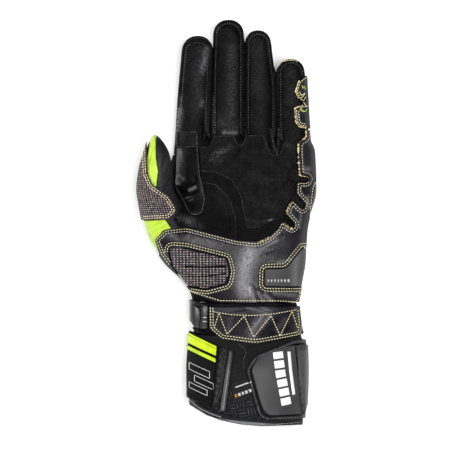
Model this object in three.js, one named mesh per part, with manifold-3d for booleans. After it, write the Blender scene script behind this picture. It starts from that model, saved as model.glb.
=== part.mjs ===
// Left-hand motorcycle sport glove, lying on its back with the palm up.
// Millimetres. +X points to the little finger's side, +Y to the fingertips and +Z out of the palm.
// The glove rests on z = 0, and the origin is the middle of its outline on that surface.
import * as THREE from "three";
import { mergeVertices } from "three/addons/utils/BufferGeometryUtils.js";
import Module from "manifold-3d";

const wasm = await Module();
wasm.setup();

// Thicknesses and gaps
const GAP = 0.3; // kept between any two pieces
const WALL = 2.2; // leather with its lining
const PALM_LAYER = 1.0; // reinforcing leather on the palm
const HEEL_LAYER = 1.4; // folded-edge leather on the heel and the outer side
const PAD_RISE = 3.0; // woven slider pad on the heel
const PATCH_LAYER = 1.3; // moulded rubber patch on the heel
const GUARD_LAYER = 1.7; // woven guard on the thumb
const STRAP_LAYER = 2.2; // wrist strap
const FLAP_LAYER = 2.4; // cuff flaps
const TRIM_LAYER = 0.6; // neon tapes and the label
const HEM_RISE = 0.9; // how far the binding stands out, and in, from the cuff at the mouth
const LINING = 0.8; // cloth inside the cuff

// Levels along Z where front and back pieces meet
const SIDE_SEAM = 20;
const FINGER_SEAM = 0.4; // share of a finger's half depth, above and below its middle
const LAYER_LOW = 14; // layers on the palm run round the sides down to here
const GUARD_LOW = 24;
const WRAP_LOW = 9; // straps and flaps run round the sides down to here
const HIGH = 120;
const LOW = -20;
const FAR = 90; // past the glove on any side

// Places along Y
const HEM_Y = -59.5; // the hand's leather ends here
const HEEL_SEAM_Y = -4; // and is joined across the palm here, under the heel panel's edge
const CUFF_Y = -84; // the cuff begins here
const LINING_Y = -112; // its lining begins here
const MOUTH_SLANT = 4.2; // how far the mouth's back lies past its front
const MOUTH_HEIGHT = 64;
const HEM_WIDTH = 5;

const BODY_SIDES = 16;
const FINGER_SIDES = 10;
const THUMB_SIDES = 12;

// A table of named columns as a list of rows.
const table = (columns, rows) =>
  rows.map((row) => Object.fromEntries(columns.split(" ").map((c, i) => [c, row[i]])));

// Cross-sections of the hand, wrist and cuff, from the finger roots to past the mouth.
// square: exponent of the superellipse. dish: how far the palm's middle is sunk.
// rest: the level that its back is pressed flat to.
const BODY = table("y left right back front square dish rest", [
  [64.5, -35.5, 60.6, 9, 30, 2.6, 0, 0],
  [56, -40, 65.6, 4, 34, 2.8, 1.4, 0],
  [24, -41.6, 67, -1.5, 41.2, 2.6, 4, 0],
  [8, -45.5, 62.6, -1.5, 44.8, 2.6, 4.4, 0],
  [-14, -54, 59.2, 1, 48.6, 2.6, 2.4, 0],
  [-26, -48, 58.8, 2.6, 49, 2.6, 1.4, 0],
  [-48, -29, 55.4, 5.4, 46.2, 2.5, 0.3, 0],
  [-62, -25.6, 53.6, 7, 43, 2.3, 0, 0],
  [-80, -25.6, 55.4, 4.6, 48.5, 2.3, 0, 0.8],
  [-90, -26.6, 57.8, 2.2, 53, 2.3, 0, 0.9],
  [-110, -27.8, 58.4, -0.2, 60.6, 2.3, 0, 0.9],
  [-165, -26, 56, -0.5, 64.5, 2.3, 0, 0.9],
]);

// Fingers: places along Y, with the middle across X, the half width, the middle along Z and the half depth.
const FINGERS = {
  index: {
    tip: 142.2,
    rows: table("y x wide z deep", [
      [46, -27.3, 13.2, 19, 12],
      [96, -24.5, 12.7, 22, 11.6],
      [131, -22.3, 11.7, 29.6, 10.8],
    ]),
  },
  middle: {
    tip: 154.2,
    rows: table("y x wide z deep", [
      [46, 1, 12.2, 19, 12],
      [100, 1.1, 12.3, 22, 11.8],
      [143, 1.6, 11.8, 31, 11],
    ]),
  },
  ring: {
    tip: 146.4,
    rows: table("y x wide z deep", [
      [46, 26, 12, 19, 11.8],
      [100, 25.8, 11.9, 22, 11.2],
      [136, 24.2, 9.9, 30, 10.2],
    ]),
  },
  little: {
    tip: 124.8,
    rows: table("y x wide z deep", [
      [46, 51.4, 12.4, 18.6, 11.6],
      [86, 50, 11.3, 21.4, 10.9],
      [114.5, 49, 10.5, 27.6, 10],
    ]),
  },
};

// Cross-sections of the thumb, from the pressed-flat tip down into the hand.
const THUMB = table("y left right back front square dish rest", [
  [66.6, -55.6, -52.2, 34, 45, 2, 0, 0],
  [62.6, -58, -48.2, 29.4, 49.4, 2, 0, 0],
  [53, -61, -43, 26, 52, 2.2, 0, 0],
  [40, -64.6, -40.4, 24.2, 53, 2.2, 0, 0],
  [26, -66.2, -39.6, 22, 53.4, 2.2, 0, 0],
  [12, -64.2, -34.6, 19, 52.4, 2.2, 0, 0],
  [-2, -61.4, -29, 14, 50.4, 2.2, 0, 0],
  [-12, -58, -26, 10.5, 49.4, 2.2, 0, 0],
  [-22, -51.4, -22, 9, 47, 2.2, 0, 0],
]);

// Outlines seen from above: corners with the radius that rounds them.
const corners = (rows) => table("x y round", rows);

// The heel leather's free edge, from the heel up the little finger's side: lobes of the palm reach into it.
const SIDE_EDGE = [
  [33, -9.5, 4],
  [38.5, -4, 2],
  [41.5, 1.8, 1],
  [49.8, -4.4, 1.8],
  [51.6, -0.4, 1.8],
  [44.3, 7.6, 1.5],
  [49.2, 18.4, 1.5],
  [57.6, 10.2, 1.8],
  [60.2, 14.2, 1.8],
  [52.8, 22.5, 2],
  [53.2, 31.5, 2],
  [60.8, 31.2, 1.5],
  [62.6, 34.8, 1.5],
  [55.2, 36, 2],
  [54.2, 50, 6],
  [53.6, 68.6, 1],
];
const PALM_OVERLAY = corners([
  [-20.6, 57.6, 1],
  [-19.4, 39.6, 0.6],
  [-8, 38.6, 4],
  [4, 33, 5],
  [10.6, 21, 8],
  [15.5, -3.2, 1.5],
  [26, -3, 5],
  [42.5, 3.6, 1.2],
  ...SIDE_EDGE.slice(5, -1).map(([x, y, round]) => [x - 1, y + (y < 25 ? 0.8 : 0), round]),
  [52.6, 61.6, 1],
  [43.6, 61.6, 2],
  [40.6, 52.4, 2],
  [33.6, 52.4, 2],
  [28, 66.6, 1.5],
  [15, 66.6, 1.5],
  [12.4, 59.6, 2],
  [8.6, 59.6, 2],
  [5.4, 66.2, 1.5],
  [-9, 66.2, 1.5],
  [-13, 58, 2],
]);
const THENAR_OVERLAY = corners([
  [-18.6, 31.4, 1],
  [-8, 29.4, 4],
  [2.6, 19, 6],
  [7, 4, 6],
  [7.2, -10.8, 1],
  [-5, -7.8, 6],
  [-18, -4, 8],
  [-36, -2.4, 4],
  [-40, 3.4, 2],
  [-31.4, 13.4, 1],
  [-27, 5, 5],
  [-16.2, 6.6, 6],
]);
const WEB_PATCH = corners([
  [-37.6, 57.4, 1],
  [-22, 57.4, 1],
  [-20.2, 36, 8],
  [-16.6, 20, 8],
  [-19, 6.6, 5],
  [-29, 7, 5],
  [-33.6, 18.6, 3],
  [-38.8, 27.8, 2],
]);
// Folds across the web patch where the index finger bends, and gathers round the wrist under its strap.
const WEB_FOLDS = table("x y length turn width depth", [
  [-24, 26, 17, 24, 1.6, 0.6],
  [-26, 19.6, 13, 34, 1.6, 0.6],
]);
const GATHERS = table("y width depth", [
  [-62.4, 3, 1],
  [-71, 5, 1],
  [-80.6, 3, 1],
]);
const WEB_BAND = corners([
  [-37.8, 69.4, 1.5],
  [-22.4, 69.4, 2],
  [-22, 57.8, 0.6],
  [-37.6, 57.8, 0.6],
]);
const HEEL_PANEL = corners([
  [-54.2, -12.4, 3],
  [-46.5, -4.6, 6],
  [-30, -2.8, 14],
  [8, -12.6, 18],
  [24, -14.4, 14],
  ...SIDE_EDGE,
  [FAR, 68.6, 1],
  [FAR, -61.5, 1],
  [-5, -60.6, 12],
  [-26, -52.4, 3],
  [-32, -46, 3],
  [-FAR, -46, 1],
  [-FAR, -26, 1],
  [-50.4, -24.6, 2],
]);
const PAD_WINDOW = corners([
  [-43.6, -17.2, 3.5],
  [-30, -18.4, 10],
  [0.4, -26, 3],
  [2.8, -36, 10],
  [0.6, -45.4, 4],
  [-15, -49.6, 10],
  [-30, -47.4, 4],
  [-41.6, -31, 6],
]);
// Two slits run across the pad, cut this deep and wide.
const PAD_SLITS = [
  [[-33.5, -32.6], [-16, -32.9], [0.8, -32]],
  [[-33.5, -40.4], [-17, -40.4], [1.2, -37.6]],
];
const SLIT = { depth: 1.6, width: 1.2 };
const PATCH_WINDOW = corners([
  [28.8, -34.2, 2],
  [45, -34, 8],
  [57.6, -18.6, 1.5],
  [FAR, -18.6, 1],
  [FAR, -48, 1],
  [28.6, -47.2, 2],
]);
const LITTLE_SIDE = corners([
  [FAR, 112, 1],
  [60, 112, 1],
  [54.2, 107, 1.5],
  [52, 99.6, 2.5],
  [54, 95.2, 1],
  [60.4, 94.6, 1.5],
  [59.4, 90, 1.5],
  [51.4, 87.4, 1.5],
  [52.2, 77, 4],
  [54.6, 73.2, 1.5],
  [60.4, 72.2, 1.5],
  [FAR, 71, 1],
]);
const EDGE_SLIDER = corners([
  [FAR, 32, 1],
  [67.6, 31, 1],
  [65.2, 20, 12],
  [63.6, 5, 1],
  [FAR, 4, 1],
]);
const THUMB_GUARD = corners([
  [-FAR, 64.5, 1],
  [-60.2, 64.5, 0.4],
  [-59.4, 38, 6],
  [-55.4, 29, 5],
  [-43.4, 20.6, 6],
  [-36.6, 9.6, 4],
  [-43.4, 3, 6],
  [-62.4, 2.4, 3],
  [-FAR, 6, 1],
]);
// Across the thumb: its neon strip lies between these two lines, and its neon gusset below the third.
const STRIP_LEFT = [[-57.2, 80], [-57.2, 63], [-60, 46], [-58.8, 31], [-53.6, 25.5]];
const STRIP_RIGHT = [[-53.4, 80], [-53, 50], [-51.2, 39], [-53, 25.5]];
const GUSSET = [[-FAR, 3], [-46, 3], [-41.4, -3.7], [-48.4, -5.8], [-60, -FAR], [-FAR, -FAR]];

const WRIST_STRAP = corners([
  [-13.4, -62.6, 1.5],
  [-13.2, -79, 7],
  [-4, -87, 8],
  [22, -90.4, 30],
  [58, -83.4, 4],
  [FAR, -83, 1],
  [FAR, -62.6, 1],
]);
const WRIST_TAB = corners([
  [-FAR, -57.5, 1],
  [-27, -57.5, 2],
  [-14, -62, 1],
  [-14, -79.6, 2],
  [-23, -78.6, 4],
  [-27, -73.5, 4],
  [-FAR, -73.5, 1],
]);
const INNER_FLAP = corners([
  [-FAR, -77.5, 1],
  [-28, -81, 2],
  [-6.4, -91.6, 1],
  [-11.6, -137.6, 1],
  [-29, -133.2, 2],
  [-FAR, -132, 1],
]);
const TAPE_WIDE = corners([
  [-FAR, -66, 1],
  [-28, -82.6, 4],
  [-7.4, -91.9, 0.5],
  [-7.8, -99, 0.5],
  [-28, -90.4, 4],
  [-FAR, -74, 1],
]);
const TAPE_NARROW = corners([
  [-FAR, -76, 1],
  [-28, -92.4, 4],
  [-8, -101, 0.5],
  [-8.2, -104, 0.5],
  [-28, -95.4, 4],
  [-FAR, -79, 1],
]);
const STRETCH_BAND = corners([
  [-5.8, -92, 0.6],
  [1.2, -95, 0.6],
  [-5.8, -140, 0.6],
  [-11.2, -138.2, 0.6],
]);
const FLAP_ROLL = corners([
  [1.8, -94.6, 1],
  [5.2, -95.4, 1.4],
  [-1, -141, 2],
  [-5.2, -140.4, 1],
]);
const LABEL = corners([
  [3.8, -119.4, 0.6],
  [18.4, -114.6, 0.6],
  [23.4, -128.4, 0.6],
  [4.4, -135.2, 0.6],
]);
const CLOSURE_FLAP = corners([
  [FAR, -86.6, 1],
  [50, -88, 6],
  [21.6, -98.6, 8],
  [14.6, -109, 8],
  [19.4, -128, 14],
  [25, -146.6, 6],
  [FAR, -146.4, 1],
]);
const CLOSURE_PATCH = corners([
  [51.2, -91.4, 0.6],
  [42, -92.6, 6],
  [24, -99.6, 6],
  [18.4, -108.6, 6],
  [24.6, -131, 14],
  [29.4, -143.6, 6],
  [57, -142.8, 0.6],
]);
const CLOSURE_FOLD = corners([
  [51.8, -91.6, 0.6],
  [FAR, -91.6, 1],
  [FAR, -136, 1],
  [61, -137, 3],
  [57.4, -142.6, 0.6],
]);
// The mouth's edge at the front, from the thumb's side to the little finger's.
const MOUTH = [
  [-FAR, -130],
  [-30, -133.5],
  [-15, -142.6],
  [-4, -146.6],
  [11.5, -149.8],
  [27, -151],
  [56, -150],
  [FAR, -150],
];

// Meshes and solids

const solidOf = (geometry) => {
  const bare = new THREE.BufferGeometry().setAttribute("position", geometry.getAttribute("position"));
  if (geometry.index) bare.setIndex(geometry.index);
  const merged = mergeVertices(bare, 1e-4);
  return new wasm.Manifold(
    new wasm.Mesh({
      numProp: 3,
      vertProperties: merged.getAttribute("position").array,
      triVerts: new Uint32Array(merged.index.array),
    }),
  );
};

const signedPower = (value, exponent) => Math.sign(value) * Math.abs(value) ** exponent;

// Points round a superellipse, spread by length and by turning together, so that corners get their share.
const DENSE = 240;
const ringOf = (row, grow, sides) => {
  const half = { x: (row.right - row.left) / 2 + grow, z: (row.front - row.back) / 2 + grow };
  const middle = { x: (row.left + row.right) / 2, z: (row.back + row.front) / 2 };
  const points = Array.from({ length: DENSE + 1 }, (_, i) => {
    const angle = (2 * Math.PI * i) / DENSE;
    const [x, z] = [Math.cos(angle), Math.sin(angle)].map((value) => signedPower(value, 2 / row.square));
    return [half.x * x, half.z * z];
  });
  const heading = (i) => {
    const [a, b] = [points[(i + DENSE) % DENSE], points[(i + 1 + DENSE) % DENSE]];
    return Math.atan2(b[1] - a[1], b[0] - a[0]);
  };
  const steps = points.slice(1).map(([x, z], i) => {
    const change = heading(i) - heading(i - 1);
    const turn = Math.abs(Math.atan2(Math.sin(change), Math.cos(change)));
    return [Math.hypot(x - points[i][0], z - points[i][1]), turn];
  });
  const total = [0, 1].map((k) => steps.reduce((sum, step) => sum + step[k], 0));
  const along = [0];
  steps.forEach(([length, turn]) => along.push(along.at(-1) + length / total[0] + turn / total[1]));
  let i = 0;
  return Array.from({ length: sides }, (_, k) => {
    const target = (along.at(-1) * k) / sides;
    while (along[i + 1] < target) i += 1;
    const share = (target - along[i]) / (along[i + 1] - along[i]);
    const x = points[i][0] + share * (points[i + 1][0] - points[i][0]);
    const z = points[i][1] + share * (points[i + 1][1] - points[i][1]);
    const across = x / half.x;
    const sunk = z > 0 ? row.dish * (1 - across * across) ** 2 * (z / half.z) : 0;
    return [middle.x + x, Math.max(middle.z + z - sunk, row.rest - grow)];
  });
};

// A closed body through rings that stand square to Y, with a fan over each end.
const loft = (rings) => {
  const sides = rings[0].points.length;
  const positions = rings.flatMap(({ y, points }) => points.flatMap(([x, z]) => [x, y, z]));
  const faces = [];
  for (let r = 0; r + 1 < rings.length; r += 1)
    for (let i = 0; i < sides; i += 1) {
      const [a, b] = [r * sides + i, r * sides + ((i + 1) % sides)];
      faces.push(a, b, b + sides, a, b + sides, a + sides);
    }
  [0, rings.length - 1].forEach((r) => {
    const { y, points } = rings[r];
    const centre = positions.length / 3;
    const mean = (k) => points.reduce((sum, p) => sum + p[k], 0) / sides;
    positions.push(mean(0), y, mean(1));
    for (let i = 0; i < sides; i += 1) {
      const [a, b] = [r * sides + i, r * sides + ((i + 1) % sides)];
      faces.push(...(r ? [a, b, centre] : [b, a, centre]));
    }
  });
  const geometry = new THREE.BufferGeometry();
  geometry.setAttribute("position", new THREE.Float32BufferAttribute(positions, 3));
  geometry.setIndex(faces);
  return solidOf(geometry);
};

// The hand and cuff, or the thumb: its first row is an end that grows too.
const tube = (rows, sides, grow) =>
  loft(rows.map((row, i) => ({ y: row.y + (i ? 0 : grow), points: ringOf(row, grow, sides) })));

// A finger: its rows from root to tip, then rings that close over the tip.
const TIP_TURNS = [34, 60, 82];
const FINGER_SQUARE = 2.2;
const fingerTube = ({ tip, rows }, grow) => {
  const ring = (y, x, wide, z, deep) => {
    const reach = { left: x - wide, right: x + wide, back: z - deep, front: z + deep };
    return { y, points: ringOf({ ...reach, square: FINGER_SQUARE, dish: 0, rest: 0 }, grow, FINGER_SIDES) };
  };
  const [before, last] = rows.slice(-2);
  const slope = (key) => (last[key] - before[key]) / (last.y - before.y);
  const closing = TIP_TURNS.map((turn) => {
    const [sin, cos] = [Math.sin, Math.cos].map((f) => f(THREE.MathUtils.degToRad(turn)));
    const y = last.y + (tip + grow - last.y) * sin;
    const [x, z] = ["x", "z"].map((key) => last[key] + slope(key) * (y - last.y));
    const [wide, deep] = [last.wide, last.deep].map((size) => (size + grow) * cos ** 0.9 - grow);
    return ring(y, x, wide, z, deep);
  });
  const straight = rows.map(({ y, x, wide, z, deep }) => ring(y, x, wide, z, deep));
  return loft([...straight, ...closing].reverse());
};

// An outline with its corners rounded by arcs, in fewer steps where the arc is small.
const ARC_STEP = 1.3;
const rounded = (rows) => {
  const points = rows.map(({ x, y }) => new THREE.Vector2(x, y));
  return points.flatMap((corner, i) => {
    const back = points.at(i - 1).clone().sub(corner);
    const ahead = points[(i + 1) % points.length].clone().sub(corner);
    const [backLength, aheadLength] = [back.length(), ahead.length()];
    back.normalize();
    ahead.normalize();
    const half = Math.acos(THREE.MathUtils.clamp(back.dot(ahead), -1, 1)) / 2;
    const cut = Math.min(rows[i].round / Math.tan(half), 0.48 * Math.min(backLength, aheadLength));
    const radius = cut * Math.tan(half);
    const turn = Math.PI - 2 * half;
    const steps = Math.max(1, Math.round((turn * Math.sqrt(radius)) / ARC_STEP));
    const inwards = back.clone().add(ahead).normalize();
    const centre = corner.clone().addScaledVector(inwards, radius / Math.sin(half));
    const start = corner.clone().addScaledVector(back, cut).sub(centre);
    const side = Math.sign(back.cross(ahead)) || 1;
    return Array.from({ length: steps + 1 }, (_, k) =>
      centre.clone().add(start.clone().rotateAround(new THREE.Vector2(), (-side * turn * k) / steps)),
    );
  });
};

// The same outline with its edge moved outwards.
const grown = (points, distance) => {
  const loop = points.map((p) => (p.isVector2 ? p : new THREE.Vector2(...p)));
  const side = THREE.ShapeUtils.isClockWise(loop) ? -1 : 1;
  return loop.map((point, i) => {
    const before = point.clone().sub(loop.at(i - 1)).normalize();
    const after = loop[(i + 1) % loop.length].clone().sub(point).normalize();
    const across = before.clone().add(after).normalize();
    const outwards = new THREE.Vector2(across.y, -across.x).multiplyScalar(side);
    return point.clone().addScaledVector(outwards, distance / Math.max(0.3, across.dot(before)));
  });
};

// The space over a flat outline, between two levels. slant moves its back along Y, against its front.
const prism = (points, low = LOW, high = HIGH, slant = 0) => {
  const shape = new THREE.Shape(grown(points, 0));
  const geometry = new THREE.ExtrudeGeometry(shape, { depth: high - low, bevelEnabled: false });
  geometry.translate(0, 0, low);
  const place = geometry.getAttribute("position");
  for (let i = 0; i < place.count; i += 1)
    place.setY(i, place.getY(i) - slant * (1 - place.getZ(i) / MOUTH_HEIGHT));
  return solidOf(geometry);
};
const over = (rows, low, grow = 0) => prism(grown(rounded(rows), grow), low);
const band = (low, high) => prism([[-FAR, low], [FAR, low], [FAR, high], [-FAR, high]]);
const everywhere = [[-FAR, -2 * FAR], [FAR, -2 * FAR], [FAR, 2 * FAR], [-FAR, 2 * FAR]];
const aboveLevel = (z) => prism(everywhere, z);
const belowLevel = (z) => prism(everywhere, LOW, z);

// The space over a strip of even width along a line.
const ribbon = (line, width, low) => {
  const points = line.map((p) => new THREE.Vector2(...p));
  const edge = (side) => points.map((point, i) => {
    const [before, after] = [points[Math.max(i - 1, 0)], points[Math.min(i + 1, points.length - 1)]];
    const along = after.clone().sub(before).normalize();
    return point.clone().add(new THREE.Vector2(-along.y, along.x).multiplyScalar((side * width) / 2));
  });
  return prism([...edge(1), ...edge(-1).reverse()], low);
};

// The space over a side profile, drawn along Y and Z and carried across the glove.
const sideProfile = (points) => {
  const shape = new THREE.Shape(points.map(([y, z]) => new THREE.Vector2(y, z)));
  const geometry = new THREE.ExtrudeGeometry(shape, { depth: 2 * FAR, bevelEnabled: false });
  geometry.applyMatrix4(new THREE.Matrix4().makeBasis(
    new THREE.Vector3(0, 1, 0), new THREE.Vector3(0, 0, 1), new THREE.Vector3(1, 0, 0),
  ));
  geometry.translate(-FAR, 0, 0);
  return solidOf(geometry);
};

const joined = (solids) => solids.reduce((all, next) => all.add(next));
const largest = (solid) => solid.decompose().sort((a, b) => b.volume() - a.volume())[0];

// Forms that every piece is cut from, at any distance outside or inside the leather's face
const bodyAt = (grow) => tube(BODY, BODY_SIDES, grow);
const thumbAt = (grow) => tube(THUMB, THUMB_SIDES, grow);
const fingersAt = (grow) => joined(Object.values(FINGERS).map((finger) => fingerTube(finger, grow)));
const cache = new Map();
const formAt = (grow) => {
  if (!cache.has(grow)) cache.set(grow, joined([bodyAt(grow), thumbAt(grow), fingersAt(grow)]));
  return cache.get(grow);
};
const layer = (region, thickness, from = GAP) =>
  formAt(from + thickness).subtract(formAt(from)).intersect(region);

// The space past the mouth's edge, which is drawn at the front and slants to the back
const pastMouth = (shift) => {
  const edge = MOUTH.map(([x, y]) => [x, y + shift]);
  return prism([...edge, [FAR, -3 * FAR], [-FAR, -3 * FAR]], LOW, HIGH, MOUTH_SLANT);
};

// Group and materials

const glove = new THREE.Group();
const finish = (color, roughness) => new THREE.MeshStandardMaterial({ color, roughness, metalness: 0 });
const FINISH = {
  leather: finish(0x1b1b1c, 0.55),
  heelLeather: finish(0x242228, 0.5),
  suede: finish(0x171717, 0.85),
  woven: finish(0x5b5260, 0.9),
  neon: finish(0xb5ea12, 0.6),
  rubber: finish(0x4a4a4b, 0.6),
  blackRubber: finish(0x2b2b2c, 0.6),
  fabric: finish(0x151516, 0.9),
  lining: finish(0x77787a, 0.9),
  roll: finish(0x6a6b6c, 0.7),
};
const add = (name, solid, material) => {
  const { numProp, numVert, vertProperties, triVerts } = largest(solid).getMesh();
  const positions = new Float32Array(numVert * 3);
  for (let i = 0; i < numVert; i += 1)
    positions.set(vertProperties.subarray(i * numProp, i * numProp + 3), i * 3);
  const geometry = new THREE.BufferGeometry();
  geometry.setAttribute("position", new THREE.BufferAttribute(positions, 3));
  geometry.setIndex(new THREE.BufferAttribute(triVerts, 1));
  geometry.computeVertexNormals();
  const mesh = new THREE.Mesh(geometry, material);
  mesh.name = name;
  glove.add(mesh);
};

// Fingers: a front, a back and one side wall that runs round the tip
const PAST_TIP = 10;
const buildFingers = () => {
  const hand = joined([bodyAt(GAP), thumbAt(GAP)]);
  Object.entries(FINGERS).forEach(([name, finger]) => {
    const shell = fingerTube(finger, 0).subtract(fingerTube(finger, -WALL)).subtract(hand);
    const [before, last] = finger.rows.slice(-2);
    const lean = (last.z - before.z) / (last.y - before.y);
    const end = finger.tip + PAST_TIP;
    const line = [...finger.rows, { y: end, z: last.z + lean * (end - last.y), deep: last.deep }];
    const beyond = (share, shift, level) => {
      const seam = line.map(({ y, z, deep }) => [y, z + share * deep + shift]);
      return sideProfile([...seam, [end, level], [line[0].y, level]]);
    };
    const front = (shift) => beyond(FINGER_SEAM, shift, HIGH);
    const back = (shift) => beyond(-FINGER_SEAM, shift, LOW);
    add(`${name}_front`, shell.intersect(front(GAP / 2)), FINISH.leather);
    add(`${name}_back`, shell.intersect(back(-GAP / 2)), FINISH.leather);
    add(`${name}_sidewall`, shell.subtract(front(-GAP / 2)).subtract(back(GAP / 2)), FINISH.leather);
  });
};

// Hand: front and back shells, open to the fingers, the thumb and the wrist
const buildHand = () => {
  const shell = bodyAt(0).subtract(formAt(-WALL)).intersect(band(HEM_Y, FAR));
  const palm = shell.intersect(aboveLevel(SIDE_SEAM + GAP / 2));
  add("palm_leather", palm.intersect(band(HEEL_SEAM_Y + GAP / 2, FAR)), FINISH.leather);
  add("heel_leather", palm.intersect(band(HEM_Y, HEEL_SEAM_Y - GAP / 2)), FINISH.leather);
  add("back_leather", shell.intersect(belowLevel(SIDE_SEAM - GAP / 2)), FINISH.leather);
};

// Thumb: inner face, neon strip over the tip, back, the neon gusset at its root and the woven guard
const buildThumb = () => {
  const shell = thumbAt(0).subtract(thumbAt(-WALL)).subtract(bodyAt(GAP));
  const strip = [...STRIP_LEFT, ...STRIP_RIGHT.toReversed()];
  const backSide = [[-FAR, FAR], ...STRIP_LEFT, [STRIP_LEFT.at(-1)[0], -FAR], [-FAR, -FAR]];
  const rest = shell.subtract(prism(grown(strip, GAP))).subtract(prism(grown(GUSSET, GAP)));
  add("thumb_leather", rest.subtract(prism(grown(backSide, GAP))), FINISH.leather);
  add("thumb_back", rest.intersect(prism(backSide)), FINISH.leather);
  add("thumb_insert", shell.intersect(prism(strip)), FINISH.neon);
  add("thumb_gusset", shell.intersect(prism(GUSSET)), FINISH.neon);
  add("thumb_guard", layer(over(THUMB_GUARD, GUARD_LOW), GUARD_LAYER), FINISH.woven);
};

// A crease across a layer on the palm
const foldSpace = ({ x, y, length, turn, width, depth }) => {
  const angle = THREE.MathUtils.degToRad(turn);
  const [reachX, reachY] = [Math.cos(angle), Math.sin(angle)].map((share) => (share * length) / 2);
  const line = [[x - reachX, y - reachY], [x, y], [x + reachX, y + reachY]];
  const face = GAP + PALM_LAYER;
  return formAt(face + 1).subtract(formAt(face - depth)).intersect(ribbon(line, width, SIDE_SEAM));
};

// Reinforcements sewn on the palm
const buildPalm = () => {
  const cover = (rows) => layer(over(rows, SIDE_SEAM), PALM_LAYER);
  const heelSpace = over(HEEL_PANEL, LAYER_LOW, GAP);
  const guardSpace = layer(over(THUMB_GUARD, GUARD_LOW, GAP), GUARD_LAYER + GAP, 0);
  const thenar = cover(THENAR_OVERLAY).subtract(over(WEB_PATCH, SIDE_SEAM, GAP));
  add("palm_overlay", cover(PALM_OVERLAY).subtract(heelSpace), FINISH.suede);
  add("thenar_overlay", thenar.subtract(heelSpace).subtract(guardSpace), FINISH.leather);
  const web = cover(WEB_PATCH).subtract(guardSpace);
  add("web_patch", web.subtract(joined(WEB_FOLDS.map(foldSpace))), FINISH.leather);
  add("web_band", cover(WEB_BAND), FINISH.suede);
};

// Heel: the leather panel with its lobed edge, and what is set into its windows
const buildHeel = () => {
  const windows = joined([PAD_WINDOW, PATCH_WINDOW, EDGE_SLIDER].map((rows) => over(rows, LOW, GAP)));
  const panel = layer(over(HEEL_PANEL, LAYER_LOW), HEEL_LAYER).intersect(band(HEM_Y, FAR));
  add("heel_panel", panel.subtract(windows), FINISH.heelLeather);
  const slits = joined(PAD_SLITS.map((line) => ribbon(line, SLIT.width, SIDE_SEAM)));
  const pad = layer(over(PAD_WINDOW, LAYER_LOW), PAD_RISE);
  add("heel_pad", pad.subtract(slits.subtract(formAt(GAP + PAD_RISE - SLIT.depth))), FINISH.woven);
  add("heel_patch", layer(over(PATCH_WINDOW, LAYER_LOW), PATCH_LAYER), FINISH.rubber);
  add("edge_slider", layer(over(EDGE_SLIDER, LAYER_LOW), PATCH_LAYER), FINISH.blackRubber);
  add("little_panel", layer(over(LITTLE_SIDE, LAYER_LOW), HEEL_LAYER), FINISH.heelLeather);
};

// The hand's cross-section at any place along Y
const rowAt = (y) => {
  const i = BODY.findIndex((row) => row.y < y);
  const [ahead, behind] = [BODY[i - 1], BODY[i]];
  const share = (ahead.y - y) / (ahead.y - behind.y);
  const between = (key) => ahead[key] + share * (behind[key] - ahead[key]);
  return Object.fromEntries(Object.keys(ahead).map((key) => [key, between(key)]));
};

// Wrist: gathered sleeve with the strap and the moulded tab on it
const buildWrist = () => {
  const gather = ({ y, width, depth }) => [[y + width / 2, 0], [y, -depth], [y - width / 2, 0]];
  const places = [[HEM_Y, 0], ...GATHERS.flatMap(gather), [CUFF_Y, 0]];
  const outside = loft(places.map(([y, grow]) => ({ y, points: ringOf(rowAt(y), grow, BODY_SIDES) })));
  const sleeve = outside.subtract(bodyAt(-WALL)).intersect(band(CUFF_Y + GAP, HEM_Y - GAP));
  add("wrist_sleeve", sleeve, FINISH.leather);
  const strap = layer(over(WRIST_STRAP, WRAP_LOW), STRAP_LAYER);
  add("wrist_strap", strap.subtract(over(WRIST_TAB, WRAP_LOW, GAP)), FINISH.leather);
  add("wrist_tab", layer(over(WRIST_TAB, WRAP_LOW), STRAP_LAYER), FINISH.blackRubber);
};

// Cuff: front and back panels, and the lining and the binding at the mouth
const buildCuff = () => {
  const pastHem = pastMouth(HEM_WIDTH);
  const panels = bodyAt(0).subtract(bodyAt(-WALL)).intersect(band(-2 * FAR, CUFF_Y)).subtract(pastHem);
  add("cuff_front", panels.intersect(aboveLevel(SIDE_SEAM + GAP / 2)), FINISH.fabric);
  add("cuff_back", panels.intersect(belowLevel(SIDE_SEAM - GAP / 2)), FINISH.fabric);
  const inner = -WALL - GAP;
  const liner = bodyAt(inner).subtract(bodyAt(inner - LINING)).intersect(band(-2 * FAR, LINING_Y));
  add("cuff_lining", liner.subtract(pastHem), FINISH.lining);
  const rim = bodyAt(HEM_RISE).subtract(bodyAt(inner - LINING - HEM_RISE));
  const mouth = pastMouth(HEM_WIDTH - GAP).subtract(pastMouth(0)).intersect(band(-2 * FAR, 0));
  add("hem_binding", rim.intersect(mouth), FINISH.fabric);
};

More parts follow.
